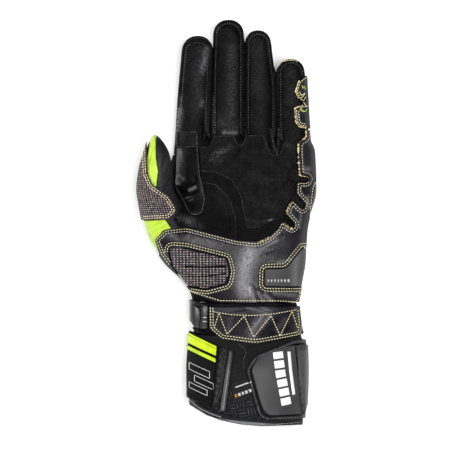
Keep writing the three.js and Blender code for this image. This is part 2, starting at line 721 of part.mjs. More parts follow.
// Flaps and trims on the cuff's front
const buildFlaps = () => {
  const flapFace = GAP + FLAP_LAYER + GAP;
  const space = (rows) => over(rows, LOW, GAP);
  const taken = joined([WRIST_STRAP, WRIST_TAB].map(space)).add(pastMouth(HEM_WIDTH));
  const inner = over(INNER_FLAP, WRAP_LOW);
  add("inner_flap", layer(inner, FLAP_LAYER).subtract(taken), FINISH.fabric);
  const tape = (rows) => layer(over(rows, WRAP_LOW), TRIM_LAYER, flapFace).intersect(inner);
  add("tape_wide", tape(TAPE_WIDE), FINISH.neon);
  add("tape_narrow", tape(TAPE_NARROW), FINISH.neon);
  const elastic = layer(over(STRETCH_BAND, SIDE_SEAM), PALM_LAYER).subtract(taken);
  add("stretch_band", elastic.subtract(space(INNER_FLAP)).subtract(space(FLAP_ROLL)), FINISH.fabric);
  add("flap_roll", layer(over(FLAP_ROLL, SIDE_SEAM), FLAP_LAYER).subtract(taken), FINISH.roll);
  const label = layer(over(LABEL, SIDE_SEAM), TRIM_LAYER);
  add("cuff_label", label.subtract(space(FLAP_ROLL)).subtract(space(CLOSURE_FLAP)), FINISH.fabric);
  add("closure_flap", layer(over(CLOSURE_FLAP, WRAP_LOW), FLAP_LAYER).subtract(taken), FINISH.fabric);
  add("closure_patch", layer(over(CLOSURE_PATCH, SIDE_SEAM), PALM_LAYER, flapFace), FINISH.rubber);
  add("closure_fold", layer(over(CLOSURE_FOLD, WRAP_LOW), PALM_LAYER, flapFace), FINISH.rubber);
};

buildFingers();
buildHand();
buildThumb();
buildPalm();
buildHeel();
buildWrist();
buildCuff();
buildFlaps();

const middle = new THREE.Box3().setFromObject(glove).getCenter(new THREE.Vector3());
glove.position.set(-middle.x, -middle.y, 0);

export default glove;
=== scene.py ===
"""Left-hand motorcycle sport glove, lying on its back with the palm up.

Sizes and places are in millimetres, as the glove is drawn: +X points to the little finger's side,
+Y to the fingertips and +Z out of the palm. Meshes hold metres in the row frame.
"""

import math
from contextlib import contextmanager

import bpy
import numpy as np
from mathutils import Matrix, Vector, noise


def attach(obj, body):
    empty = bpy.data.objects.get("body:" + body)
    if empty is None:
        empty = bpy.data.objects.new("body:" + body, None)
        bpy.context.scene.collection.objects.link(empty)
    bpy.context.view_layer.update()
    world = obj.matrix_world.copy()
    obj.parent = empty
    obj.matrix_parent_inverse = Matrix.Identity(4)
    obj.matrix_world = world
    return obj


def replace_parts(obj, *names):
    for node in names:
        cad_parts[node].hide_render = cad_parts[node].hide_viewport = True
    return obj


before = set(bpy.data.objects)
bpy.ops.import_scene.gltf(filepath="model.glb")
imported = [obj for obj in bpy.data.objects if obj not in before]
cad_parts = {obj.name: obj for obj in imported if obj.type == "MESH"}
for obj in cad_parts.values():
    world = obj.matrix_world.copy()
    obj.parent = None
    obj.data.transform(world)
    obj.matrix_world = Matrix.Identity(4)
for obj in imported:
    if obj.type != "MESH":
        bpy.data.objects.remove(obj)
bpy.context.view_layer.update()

MM = 0.001
SHIFT = np.array((-0.2, 0.534, 0.0))  # from the drawing's origin to the middle of the outline

# Thicknesses and gaps
GAP = 0.3
LAP = 0.2  # how far the leather of hand and fingers runs on past their shared seam
WALL = 2.2
BODY_REACH = 0.12
PALM_LAYER = 1.0
HEEL_LAYER = 1.4
PAD_RISE = 2.6
PAD_SWELL = 0.9
PATCH_LAYER = 1.3
GUARD_LAYER = 1.7
STRAP_LAYER = 2.2
FLAP_LAYER = 2.4
TRIM_LAYER = 0.6
HEM_RISE = 0.9
LINING = 0.8
TURNED_IN = 0.7

# Levels along Z where front and back pieces meet
SIDE_SEAM = 20
FINGER_SEAM = 0.4
LAYER_LOW = 14
GUARD_LOW = 24
WRAP_LOW = 9
HIGH = 120
LOW = -20
FAR = 90
EVERYWHERE = ((-FAR, -2 * FAR), (FAR, -2 * FAR), (FAR, 2 * FAR), (-FAR, 2 * FAR))

# Places along Y
FINGER_CUT = 52.6
HEM_Y = -59.5
CUFF_Y = -84
LINING_Y = -112
MOUTH_SLANT = 4.2
MOUTH_HEIGHT = 64
HEM_WIDTH = 5

# How fine the meshes are
SIDES = 96
RING_STEP = 2.5
ARC_STEP = 0.35
PAD_VOXEL = 1.5
FORM_VOXEL = 1.1
BACK_VOXEL = 1.05
WALL_VOXEL = 0.85
CUFF_BACK_VOXEL = 0.8
CUFF_VOXEL = 0.65
THUMB_VOXEL = 0.6
FACE_VOXEL = 0.55
LAYER_VOXEL = 0.5
HEM_VOXEL = 0.45
BAND_VOXEL = 0.4
TRIM_VOXEL = 0.3

# How far apart the ribs, gathers and threads lie
GATHER_PITCH = 5.2
HEM_PITCH = 1.9
FLAP_PITCH = 2.1
BAND_PITCH = 1.8
BAND_CROSS_PITCH = 9
GUARD_THREADS = (1.65, 1.45)
PAD_THREADS = (2.5, 1.8)

# Rows of stitches, by their distance from the edge
GUARD_ROWS = (1.3, 3.0)
PAD_ROWS = (1.4, 3.3)
PATCH_ROWS = (1.6, 3.6)
STRAP_ROWS = (1.3, 3.2)

# Cross-sections from the wrist's mouth to the fingers: y left right back front square dish rest
BODY = (
    (-165, -26, 56, -0.5, 64.5, 2.3, 0, 0.9),
    (-110, -27.8, 58.4, -0.2, 60.6, 2.3, 0, 0.9),
    (-90, -26.6, 57.8, 2.2, 53, 2.3, 0, 0.9),
    (-80, -25.6, 55.4, 4.6, 48.5, 2.3, 0, 0.8),
    (-62, -25.6, 53.6, 7, 43, 2.3, 0, 0),
    (-48, -29, 55.4, 5.4, 46.2, 2.5, 0.3, 0),
    (-26, -48, 58.8, 2.6, 49, 2.6, 1.4, 0),
    (-14, -54, 59.2, 1, 48.6, 2.6, 2.4, 0),
    (8, -45.5, 62.6, -1.5, 44.8, 2.6, 4.4, 0),
    (24, -41.6, 67, -1.5, 41.2, 2.6, 4, 0),
    (56, -40, 65.6, 4, 34, 2.8, 1.4, 0),
    (64.5, -35.5, 60.6, 9, 30, 2.6, 0, 0),
)
THUMB = (
    (-22, -51.4, -22, 9, 47, 2.2, 0, 0),
    (-12, -58, -26, 10.5, 49.4, 2.2, 0, 0),
    (-2, -61.4, -29, 14, 50.4, 2.2, 0, 0),
    (12, -64.2, -34.6, 19, 52.4, 2.2, 0, 0),
    (26, -66.2, -39.6, 22, 53.4, 2.2, 0, 0),
    (40, -64.6, -40.4, 24.2, 53, 2.2, 0, 0),
    (53, -61, -43, 26, 52, 2.2, 0, 0),
    (62.6, -58, -48.2, 29.4, 49.4, 2, 0, 0),
    (66.6, -55.6, -52.2, 34, 45, 2, 0, 0),
)
# Fingers: the tip's place, then rows of y, middle along X, half width, middle along Z, half depth
FINGERS = {
    "index": (142.2, ((46, -27.3, 13.2, 19, 12), (96, -24.5, 12.7, 22, 11.6),
                      (131, -22.3, 11.7, 29.6, 10.8))),
    "middle": (154.2, ((46, 1, 12.2, 19, 12), (100, 1.1, 12.3, 22, 11.8), (143, 1.6, 11.8, 31, 11))),
    "ring": (146.4, ((46, 26, 12, 19, 11.8), (100, 25.8, 11.9, 22, 11.2), (136, 24.2, 9.9, 30, 10.2))),
    "little": (124.8, ((46, 51.4, 12.4, 18.6, 11.6), (86, 50, 11.3, 21.4, 10.9),
                       (114.5, 49, 10.5, 27.6, 10))),
}
FINGER_SQUARE = 2.2
# Lines between neighbouring fingers, from the hand outwards
BETWEEN = (
    ((-43, 40), (-43, 170)),
    ((-12.65, 40), (-11.5, 98), (-10.3, 137), (-9.6, 170)),
    ((13.6, 40), (13.65, 100), (13.9, 136), (14.2, 170)),
    ((38.5, 40), (38.3, 86), (37.5, 114), (36.8, 170)),
    ((FAR, 40), (FAR, 170)),
)

# Outlines seen from above: x, y and, where the corner is rounded, its radius
SIDE_EDGE = (
    (33, -9.5, 4), (38.5, -4, 2), (41.5, 1.8, 1), (49.8, -4.4, 1.8), (51.6, -0.4, 1.8),
    (44.3, 7.6, 1.5), (49.2, 18.4, 1.5), (57.6, 10.2, 1.8), (60.2, 14.2, 1.8), (52.8, 22.5, 2),
    (53.2, 31.5, 2), (60.8, 31.2, 1.5), (62.6, 34.8, 1.5), (55.2, 36, 2), (54.2, 50, 6), (53.6, 68.6, 1),
)
HEEL_TOP = ((-54.2, -12.4, 3), (-46.5, -4.6, 6), (-30, -2.8, 14), (8, -12.6, 18), (24, -14.4, 14))
PALM_OVERLAY = (
    (-20.6, 57.6, 1), (-19.4, 39.6, 0.6), (-8, 38.6, 4), (4, 33, 5), (10.6, 21, 8), (15.5, -3.2, 1.5),
    (26, -3, 5), (42.5, 3.6, 1.2),
    *((x - 1, y + (0.8 if y < 25 else 0), r) for x, y, r in SIDE_EDGE[5:-1]),
    (52.6, 61.6, 1), (43.6, 61.6, 2), (40.6, 52, 3.4), (33.6, 52, 3.4), (28, 66.6, 1.5), (15, 66.6, 1.5),
    (12.4, 59.6, 2), (8.6, 59.6, 2), (5.4, 66.2, 1.5), (-9, 66.2, 1.5), (-13, 58, 2),
)
THENAR_OVERLAY = (
    (-18.6, 31.4, 1), (-8, 29.4, 4), (2.6, 19, 6), (7, 4, 6), (7.2, -10.8, 1), (-5, -7.8, 6),
    (-18, -4, 8), (-36, -2.4, 4), (-40, 3.4, 2), (-31.4, 13.4, 1), (-27, 5, 5), (-16.2, 6.6, 6),
)
WEB_PATCH = (
    (-37.6, 57.4, 1), (-22, 57.4, 1), (-20.2, 36, 8), (-16.2, 20, 8), (-18.4, 7, 7), (-27.6, 6.6, 7),
    (-33.2, 18.6, 3), (-38.8, 27.8, 2),
)
WEB_BAND = ((-37.8, 69.4, 1.5), (-22.4, 69.4, 2), (-22, 57.8, 0.6), (-37.6, 57.8, 0.6))
SIDE_TOP = (*SIDE_EDGE[:-1], (54.2, 61, 2), (60.2, 65.4, 2.4), (60, 71, 1))
HEEL_PANEL = (
    *HEEL_TOP, *SIDE_TOP, (FAR, 71, 1), (FAR, -61.5, 1), (-5, -60.6, 12), (-26, -52.4, 3),
    (-32, -46, 3), (-FAR, -46, 1), (-FAR, -26, 1), (-50.4, -24.6, 2),
)
PAD_WINDOW = (
    (-43.6, -17.2, 3.5), (-30, -18.4, 10), (0.4, -26, 3), (2.8, -36, 10), (0.6, -45.4, 4),
    (-15, -49.6, 10), (-30, -47.4, 4), (-41.6, -31, 6),
)
PATCH_WINDOW = (
    (28.8, -34.2, 2), (45, -34, 8), (57.6, -18.6, 1.5), (FAR, -18.6, 1), (FAR, -48, 1),
    (28.6, -47.2, 2),
)
LITTLE_SIDE = (
    (FAR, 112, 1), (60, 112, 1), (54.2, 107, 1.5), (52, 99.6, 2.5), (54, 95.2, 1), (60.4, 94.6, 1.5),
    (59.4, 90, 1.5), (51.4, 87.4, 1.5), (52.2, 77, 4), (54.6, 73.2, 1.5), (60.4, 72.2, 1.5), (FAR, 71, 1),
)
EDGE_SLIDER = ((FAR, 32, 1), (67.6, 31, 1), (65.2, 20, 12), (63.6, 5, 1), (FAR, 4, 1))
THUMB_GUARD = (
    (-FAR, 64.5, 1), (-60.2, 64.5, 0.4), (-59.4, 38, 6), (-55.4, 29, 5), (-43.4, 20.6, 6),
    (-36.6, 9.6, 8), (-43.4, 3, 6), (-62.4, 2.4, 3), (-FAR, 6, 1),
)
STRIP_LEFT = ((-57.2, 80), (-57.2, 63), (-60, 46), (-58.8, 31), (-53.6, 25.5))
STRIP_RIGHT = ((-53.4, 80), (-53, 50), (-51.2, 39), (-53, 25.5))
GUSSET = ((-FAR, 3), (-46, 3), (-41.4, -3.7), (-48.4, -5.8), (-60, -FAR), (-FAR, -FAR))
THUMB_SIDE = ((-FAR, 80), (-44, 80), (-41.6, 62), (-40.6, 45), (-15, 44), (-15, -30), (-FAR, -30))
WRIST_STRAP = (
    (-13.4, -62.6, 1.5), (-13.2, -79, 7), (-4, -87, 8), (22, -90.4, 30), (58, -83.4, 4),
    (FAR, -83, 1), (FAR, -62.6, 1),
)
WRIST_TAB = (
    (-FAR, -57.5, 1), (-27, -57.5, 2), (-14, -62, 1), (-14, -79.6, 2), (-23, -78.6, 4),
    (-27, -73.5, 4), (-FAR, -73.5, 1),
)
INNER_FLAP = (
    (-FAR, -77.5, 1), (-28, -81, 2), (-6.4, -91.6, 1), (-11.6, -137.6, 1), (-29, -133.2, 2), (-FAR, -132, 1),
)
TAPE_WIDE = (
    (-FAR, -66, 1), (-28, -82.6, 4), (-7.4, -91.9, 0.5), (-7.8, -99, 0.5), (-28, -90.4, 4), (-FAR, -74, 1),
)
TAPE_NARROW = (
    (-FAR, -76, 1), (-28, -92.4, 4), (-8, -101, 0.5), (-8.2, -104, 0.5), (-28, -95.4, 4), (-FAR, -79, 1),
)
STRETCH_BAND = ((-5.8, -92, 0.6), (1.2, -95, 0.6), (-5.8, -140, 0.6), (-11.2, -138.2, 0.6))
FLAP_ROLL = ((1.8, -94.6, 1), (5.2, -95.4, 1.4), (-1, -141, 2), (-5.2, -140.4, 1))
LABEL = ((3.8, -119.4, 0.6), (18.4, -114.6, 0.6), (23.4, -128.4, 0.6), (4.4, -135.2, 0.6))
CLOSURE_FLAP = (
    (FAR, -86.6, 1), (50, -88, 6), (21.6, -98.6, 10), (14.6, -109, 9), (19.4, -128, 14), (25, -146.6, 9),
    (FAR, -146.4, 1),
)
CLOSURE_PATCH = (
    (51.2, -91.4, 0.6), (42, -92.6, 6), (24, -99.6, 9), (18.4, -108.6, 8), (24.6, -131, 14),
    (29.4, -143.6, 10), (57, -142.8, 0.6),
)
CLOSURE_FOLD = ((51.8, -91.6, 0.6), (FAR, -91.6, 1), (FAR, -136, 1), (61, -137, 3), (57.4, -142.6, 0.6))
MOUTH = (
    (-FAR, -130), (-30, -133.5), (-15, -142.6), (-4, -146.6), (11.5, -149.8), (27, -151), (56, -150),
    (FAR, -150),
)
HEM_LIFT = ((-8, -145.4), (8, -147.2), (24, -148.6), (42, -150.4), (42, -170), (-8, -170))

# Creases: x, y, length, turn, width and depth
FINGER_FOLDS = {
    "index": ((-25, 96, 20, 4, 5, 0.25), (-21, 124, 18, 62, 4, 0.5)),
    "middle": ((1, 103, 18, -4, 5, 0.2), (1, 72, 18, 3, 4, 0.3)),
    "ring": ((26, 97, 18, 5, 5, 0.2), (26, 120, 14, -6, 4, 0.15)),
    "little": ((48, 84, 16, -5, 4, 0.2), (48, 104, 14, 6, 4, 0.15)),
}
GUSSET_FOLDS = ((-51, -0.6, 12, 32, 1.1, 1.1), (-56, -8, 12, 62, 1.4, 0.8), (-48, -3.6, 9, 44, 1.0, 0.6))
INSERT_FOLDS = ((-57, 52, 14, 84, 1.2, 0.6), (-54.6, 38, 12, 100, 1.2, 0.6), (-55.6, 30, 8, 40, 1.1, 0.6))
THUMB_FOLDS = ((-47, 44, 14, 84, 2, 0.7), (-44, 30, 14, 72, 1.6, 0.7), (-49, 26, 12, 20, 1.8, 0.6))
PALM_FOLDS = (
    (-9, 52, 15, 38, 1.4, 0.45), (-6, 48, 14, 30, 1.3, 0.35), (-12, 46.6, 12, 44, 1.2, 0.4),
    (20, 34, 26, -8, 2.2, 0.25), (26, 22, 22, -12, 2, 0.25), (34, 12, 18, 4, 1.8, 0.2),
    (8, 58, 14, 10, 1.6, 0.25),
)
HEEL_FOLDS = (
    (21, -53, 15, 112, 1.8, 0.9), (27.4, -53.6, 14, 128, 1.6, 0.9), (34, -54.4, 13, 142, 1.4, 0.7),
    (10.6, -52, 13, 92, 1.6, 0.5), (41, -55, 12, 152, 1.3, 0.5), (3, -55, 9, 80, 1.3, 0.3),
    (31, -21, 17, 28, 1.8, 0.3), (38, -14, 16, 40, 1.6, 0.35), (44, -7, 12, 54, 1.5, 0.3),
    (-34, -9.4, 12, -50, 1.5, 0.25), (-16, -12, 12, -40, 1.6, 0.2), (56, 16, 10, 60, 1.4, 0.3),
    (57, 44, 12, 84, 1.6, 0.3),
)
STRAP_FOLDS = (
    (24, -73, 20, 56, 2, 0.8), (30, -78, 16, 46, 1.6, 0.7), (18, -79, 14, 66, 1.6, 0.6),
    (37, -73, 14, 62, 1.6, 0.4), (4, -74, 13, 100, 1.8, 0.4), (45, -78, 13, 52, 1.5, 0.35),
    (12, -64.8, 12, 14, 1.2, 0.5), (28, -64.4, 12, 166, 1.2, 0.5), (-7, -70, 9, 20, 1.4, 0.3),
)
CUFF_FOLDS = (
    (10, -98, 16, 70, 2, 0.5), (14, -106, 14, 110, 2, 0.4), (7, -110, 12, 60, 1.8, 0.4),
    (30, -147, 16, 8, 1.6, 0.4), (6, -142, 14, 20, 1.8, 0.4),
)

# Seams, valleys and other lines seen from above
WEB_VALLEYS = (
    ((-40, 29), (-38, 28.2), (-31.4, 27), (-25.4, 30.6), (-23.4, 34)),
    ((-34.4, 22.4), (-27.6, 22.6), (-22.6, 26)),
    ((-31.6, 17.4), (-26.6, 19.6)),
)
WEB_SWELL = ((-20, 56), (-19, 30))
HEEL_SWELL = ((20, -18), (18, -30), (15, -42), (14, -52))
STRAP_SWELL = ((25, -66), (21, -82))
TAB_SWELL = ((-25.6, -63), (-25.6, -70), (-25, -77))
TAB_VALLEY = ((-22.6, -61.4), (-20, -63), (-19.2, -66), (-19.2, -70), (-20.4, -78))
TAB_DIP = ((-34, -60.6), (-26, -60.2), (-18, -62))
FOLD_DIP = ((53.6, -91), (56.6, -93), (59, -93.6))
PAD_SLITS = (
    (((-31.5, -32.4), (-16, -32.8), (0.2, -32)), 1.5), (((-30, -40.2), (-16, -39.8), (0, -37.4)), 0.95),
)
HEEL_END = ((55.6, -51.6), (54.6, -56), (52.6, -59))
HEEL_HEM = ((-29.6, -49.4), (-24.6, -52), (-4.6, -58), (20, -58), (38, -58.2), (52.4, -59.2))
SLIDER_SEAM = ((67, 30.6), (65.4, 27), (64.2, 18), (63.4, 10), (63.8, 6.4))
STRAP_TOP = ((-10, -66.4), (4, -68.6), (20, -69.2), (36, -68), (53, -65))
STRAP_ZIGZAG = (
    (-9.4, -79), (-5.6, -67.4), (0.4, -83), (13.4, -69.6), (20.4, -85), (33.6, -69.4), (40.2, -84.2),
    (49.4, -66.2), (53.6, -79),
)
FLAP_HEM = ((-32, -127.6), (-24, -130.4), (-12.6, -134.6))
TAPE_LINE = ((-34, -82), (-28, -84.4), (-7.6, -93.6))
HEM_SEAM = ((23, -149.2), (36, -149.8), (55, -149.4))
TIP_EDGE = ((39, 118.5), (41.4, 121.8), (45, 123.2), (49.5, 123.6), (54, 122.4))
CUFF_PIPING = ((8.6, -89.8, 1), (14.2, -94.2, 3), (14.6, -98.6, 2), (12.4, -102, 2), (13.2, -108.6, 1))
RAW_EDGES = (
    ((61.6, 35.2), (60, 70.4)), ((44.4, 7.4), (47.6, 14.6)), ((43, 0.4), (50, -3.6)), ((24, -14), (32, -10)),
)
LITTLE_RAW_EDGES = (((55, 107.6), (54.6, 95.4)), ((57.4, 89.2), (61, 72.4)))

# Threads and piping: x, y and height over the glove
LINING_PIPING = (
    (-31.4, -124, 0), (-30, -129.4, 0), (-26, -134, 0), (-20, -138.4, 0), (-12, -142, 0), (-4, -144.6, 0),
)
LOOSE = (
    ((55.2, 99.6, 0.2), (56.6, 97, 0.9), (59, 98.4, 0.8), (57.4, 95.6, 0.5), (55.4, 95, 0.9),
     (58.2, 93.2, 0.8), (59.8, 95.6, 0.4)),
    ((58.4, 92, 0.2), (59.4, 90, 0.9), (61, 88.6, 0.4), (58.4, 88.4, 0.8), (56, 87.2, 0.6), (59, 84.8, 0.2)),
)
LOOSE_NEON = (
    ((57, 104.4, 0.1), (57.6, 102.2, 0.6), (58.8, 103.6, 0.7), (59.4, 101.4, 0.3)),
    ((55.4, 86.4, 0.1), (57.2, 84.8, 0.7), (59.8, 85, 0.8), (60.6, 86.8, 0.4)),
)

# Plain prints: line and width
CLOSURE_STRIPE = (((38.4, -96), (40.4, -112), (45.2, -137)), 7.4)
CLOSURE_LINE = (((46.8, -96), (48, -110), (50.4, -128)), 2.2)
LABEL_LINE = (((6.6, -122.4), (18.6, -118)), 0.9)
LABEL_STRIPE = (((6.4, -128.8), (19.6, -124)), 2.3)
PATCH_STRIPE = (((31, -43), (49, -43)), 2)
TAB_LINES = ((((-17.8, -70.8), (-15, -70.8)), 0.6), (((-17.8, -73.8), (-15, -73.8)), 0.6))
# Outlined bars on the flap: first and last x, top edge's y at the flap's left, height
FLAP_BARS = ((-28, -12.6, -104.4, 5), (-24, -9.8, -112, 4.6), (-28, -14.4, -119, 4))
FLAP_SLOPE = -0.42
BAR_LINE = 0.4


# Lines and outlines

def resample(line, step, closed=False):
    """The same line with points at even steps."""
    line = np.asarray(line, float)
    if closed:
        line = np.vstack((line, line[:1]))
    along = np.concatenate(([0], np.cumsum(np.linalg.norm(np.diff(line, axis=0), axis=1))))
    count = max(2, round(along[-1] / step) + 1)
    at = np.linspace(0, along[-1], count)
    even = np.stack([np.interp(at, along, line[:, k]) for k in range(line.shape[1])], 1)
    return even[:-1] if closed else even


def rounded(corners, closed=True):
    """An outline with each corner rounded to its own radius."""
    corners = np.asarray(corners, float)
    points = []
    for i, (x, y, radius) in enumerate(corners):
        here = np.array((x, y))
        if not closed and i in (0, len(corners) - 1):
            points.append(here)
            continue
        back = corners[i - 1, :2] - here
        ahead = corners[(i + 1) % len(corners), :2] - here
        back_length, ahead_length = np.linalg.norm(back), np.linalg.norm(ahead)
        back, ahead = back / back_length, ahead / ahead_length
        half = math.acos(max(-1, min(1, back @ ahead))) / 2
        reach = min(radius / math.tan(half), 0.48 * min(back_length, ahead_length))
        steps = max(2, round((math.pi - 2 * half) * reach * math.tan(half) / ARC_STEP))
        for t in np.linspace(0, 1, steps + 1):
            start, end = here + back * reach, here + ahead * reach
            points.append((1 - t) ** 2 * start + 2 * t * (1 - t) * here + t * t * end)
    return np.array(points)


def grown(points, distance):
    """The outline with its edge moved outwards."""
    points = np.asarray(points, float)
    last = np.roll(points, 1, axis=0)
    before = points - last
    area = np.sum(last[:, 0] * points[:, 1] - points[:, 0] * last[:, 1])
    before /= np.linalg.norm(before, axis=1)[:, None]
    after = np.roll(before, -1, axis=0)
    across = before + after
    across /= np.linalg.norm(across, axis=1)[:, None]
    outwards = np.stack((across[:, 1], -across[:, 0]), 1) * (1 if area > 0 else -1)
    stretch = np.maximum(0.3, np.sum(across * before, axis=1))
    return points + outwards * (distance / stretch)[:, None]


def distance_to(points, line, closed=False, reach=4.0):
    """How far each point lies from a line, all seen from above. Beyond the reach it is just far."""
    line = np.asarray(line, float)[:, :2]
    if closed:
        line = np.vstack((line, line[:1]))
    nearest = np.full(len(points), 1e6)
    order = np.argsort(points[:, 0])
    sorted_x = points[order, 0]
    for a, b in zip(line[:-1], line[1:]):
        low, high = min(a[0], b[0]) - reach, max(a[0], b[0]) + reach
        near = order[np.searchsorted(sorted_x, low):np.searchsorted(sorted_x, high)]
        near = near[np.abs(points[near, 1] - (a[1] + b[1]) / 2) < reach + abs(a[1] - b[1]) / 2]
        run = b - a
        share = np.clip((points[near, :2] - a) @ run / max(run @ run, 1e-9), 0, 1)
        away = points[near, :2] - a - share[:, None] * run
        nearest[near] = np.minimum(nearest[near], np.einsum("ij,ij->i", away, away))
    return np.sqrt(nearest)


def beside(line, distance, closed=False):
    """A line moved to the left of its run, or right for a minus distance, without loops at tight corners."""
    line = resample(line, 0.35, closed)
    run = np.roll(line, -1, axis=0) - np.roll(line, 1, axis=0)
    if not closed:
        run[0], run[-1] = line[1] - line[0], line[-1] - line[-2]
    run /= np.linalg.norm(run, axis=1)[:, None]
    moved = line + distance * np.stack((-run[:, 1], run[:, 0]), 1)
    clear = distance_to(moved, line, closed) > 0.96 * abs(distance)
    return resample(moved[clear], 0.5, closed)


def part_of(line, start, end):
    """The stretch of a line between the points nearest to start and to end."""
    line = np.asarray(line, float)
    first, last = sorted(int(np.argmin(np.linalg.norm(line - np.array(p), axis=1))) for p in (start, end))
    return line[first:last + 1]


def part_of_ring(ring, start, end):
    """The stretch of a closed line from start on to end, by way of its list's order."""
    first, last = (int(np.argmin(np.linalg.norm(ring - np.array(p), axis=1))) for p in (start, end))
    return np.roll(ring, -first, axis=0)[:(last - first) % len(ring) + 1]


def open_edge(corners):
    """An open run of an outline's corners, rounded."""
    return rounded(corners, closed=False)


def broken(line, width, count, share):
    """A stripe in plain blocks with gaps between them."""
    path = resample(line, 0.5)
    ends = np.linspace(0, len(path) - 1, count + 1).astype(int)
    return [(path[a:a + max(3, round((b - a) * share))], width) for a, b in zip(ends, ends[1:])]


def bar_outlines():
    """The four sides of each outlined bar."""
    sides = []
    for first, last, y, height in FLAP_BARS:
        top = [(x, y + FLAP_SLOPE * (x - FLAP_BARS[0][0])) for x in (first, last)]
        corners = [*top, *((x, y - height) for x, y in top)]
        sides += [((corners[a], corners[b]), BAR_LINE) for a, b in ((0, 1), (2, 3), (0, 2), (1, 3))]
    return sides


# Tables of cross-sections

def between_rows(rows, step):
    """Sections between those of a table, on curves that never swing past its values."""
    rows = np.array(rows, float)
    y, values = rows[:, 0], rows[:, 1:]
    slope = np.diff(values, axis=0) / np.diff(y)[:, None]
    tangent = np.vstack((slope[:1], np.zeros((len(y) - 2, values.shape[1])), slope[-1:]))
    before, after = slope[:-1], slope[1:]
    same_way = before * after > 1e-12
    tangent[1:-1][same_way] = 2 * (before * after)[same_way] / (before + after)[same_way]
    at = np.linspace(y[0], y[-1], round((y[-1] - y[0]) / step) + 1)
    i = np.clip(np.searchsorted(y, at, side="right") - 1, 0, len(y) - 2)
    h = (y[i + 1] - y[i])[:, None]
    t = (at - y[i])[:, None] / h
    held = (1 + 2 * t) * (1 - t) ** 2 * values[i] + t * t * (3 - 2 * t) * values[i + 1]
    turned = t * (1 - t) ** 2 * h * tangent[i] - t * t * (1 - t) * h * tangent[i + 1]
    return np.column_stack((at, held + turned))


def section(row):
    """Points round a superellipse that stands square to Y."""
    y, left, right, back, front, square, dish, rest = row
    half_x, half_z = (right - left) / 2, (front - back) / 2
    angle = np.linspace(0, 2 * math.pi, 720, endpoint=False)
    x, z = (np.sign(v) * np.abs(v) ** (2 / square) for v in (np.cos(angle), np.sin(angle)))
    ring = np.stack((half_x * x, half_z * z), 1)
    ring = np.vstack((ring, ring[:1]))
    along = np.concatenate(([0], np.cumsum(np.linalg.norm(np.diff(ring, axis=0), axis=1))))
    at = np.linspace(0, along[-1], SIDES, endpoint=False)
    x, z = (np.interp(at, along, ring[:, k]) for k in range(2))
    sunk = np.where(z > 0, dish * (1 - (x / half_x) ** 2) ** 2 * z / half_z, 0)
    z = np.maximum((back + front) / 2 + z - sunk, rest)
    return np.column_stack(((left + right) / 2 + x, np.full(SIDES, y), z))


def body_rings():
    return np.array([section(row) for row in between_rows(BODY, RING_STEP)])


def thumb_rings():
    rows = between_rows(THUMB, RING_STEP)
    tip = rows[-1].copy()
    rings = [section(row) for row in rows]
    for share, out in ((0.75, 0.7), (0.35, 1.1)):
        row = tip.copy()
        row[0] += out
        middle_x, middle_z = (row[1] + row[2]) / 2, (row[3] + row[4]) / 2
        row[1:3] = middle_x + (row[1:3] - middle_x) * share
        row[3:5] = middle_z + (row[3:5] - middle_z) * share
        rings.append(section(row))
    return np.array(rings)


def finger_row(y, x, wide, z, deep):
    return (y, x - wide, x + wide, z - deep, z + deep, FINGER_SQUARE, 0, 0)


def finger_rings(name):
    tip, table = FINGERS[name]
    rows = between_rows(table, RING_STEP)
    last, before = rows[-1], rows[-2]
    lean = (last - before) / (last[0] - before[0])
    rings = [section(finger_row(*row)) for row in rows]
    for turn in np.radians(np.arange(12, 90, 9)):
        y = last[0] + (tip - last[0]) * math.sin(turn)
        row = last + lean * (y - last[0])
        row[[2, 4]] = last[[2, 4]] * math.cos(turn) ** 0.9
        rings.append(section(finger_row(*row)))
    return np.array(rings)


# Seam lines that follow the outlines

def finger_seam(name, inset, past):
    """The stitch line on a finger's front, up one side, round the tip and down the other."""
    tip, rows = FINGERS[name]
    table = between_rows(rows, 4)
    side = 0.937
    left = [(row[1] - row[2] * side + inset, row[0]) for row in table]
    right = [(row[1] + row[2] * side - inset, row[0]) for row in table]
    last = table[-1]
    half = last[2] * side - inset
    turns = np.radians(np.arange(170, 5, -10))
    reach = tip - past - last[0]
    round_tip = [(last[1] + half * math.cos(t), last[0] + reach * math.sin(t)) for t in turns]
    return np.array((*left, *round_tip, *reversed(right)))


FINGER_ROWS = {
    "index": part_of(resample(finger_seam("index", 2.6, 6), 1), (-37, 72), (-14.5, 64)),
    "middle": part_of(resample(finger_seam("middle", 1.9, 3.4), 1), (-8.5, 68), (10.5, 68)),
    "ring": part_of(resample(finger_seam("ring", 1.9, 3.4), 1), (17, 68), (35, 62)),
    "little": part_of(resample(finger_seam("little", 1.9, 3.4), 1), (41, 63), (58, 112)),
}
PALM_TOP_EDGE = open_edge(PALM_OVERLAY[-10:] + PALM_OVERLAY[:1])
THENAR_EDGE = open_edge(THENAR_OVERLAY[:5])
WEB_EDGE = open_edge(WEB_PATCH[1:8])
HEEL_LEFT = ((-30, -47.2, 1), (-37, -39.8, 6), (-43.6, -32.4, 6), (-49.6, -24, 6))
HEEL_EDGE = open_edge((*HEEL_LEFT, *HEEL_TOP, *SIDE_TOP))
LITTLE_EDGE = open_edge(LITTLE_SIDE[1:11])
GUARD_EDGE = open_edge(THUMB_GUARD[1:8])
CLOSURE_EDGE = open_edge(CLOSURE_FLAP[:7])
STRAP_EDGE = open_edge((*WRIST_STRAP[:4], (57, -84.4, 5), (58.2, -75, 3), (57, -64.6, 1)))
PAD_EDGE = resample(rounded(PAD_WINDOW), 0.4, True)
PATCH_EDGE = part_of_ring(resample(rounded(PATCH_WINDOW), 0.4, True), (FAR, -48), (FAR, -18.6))

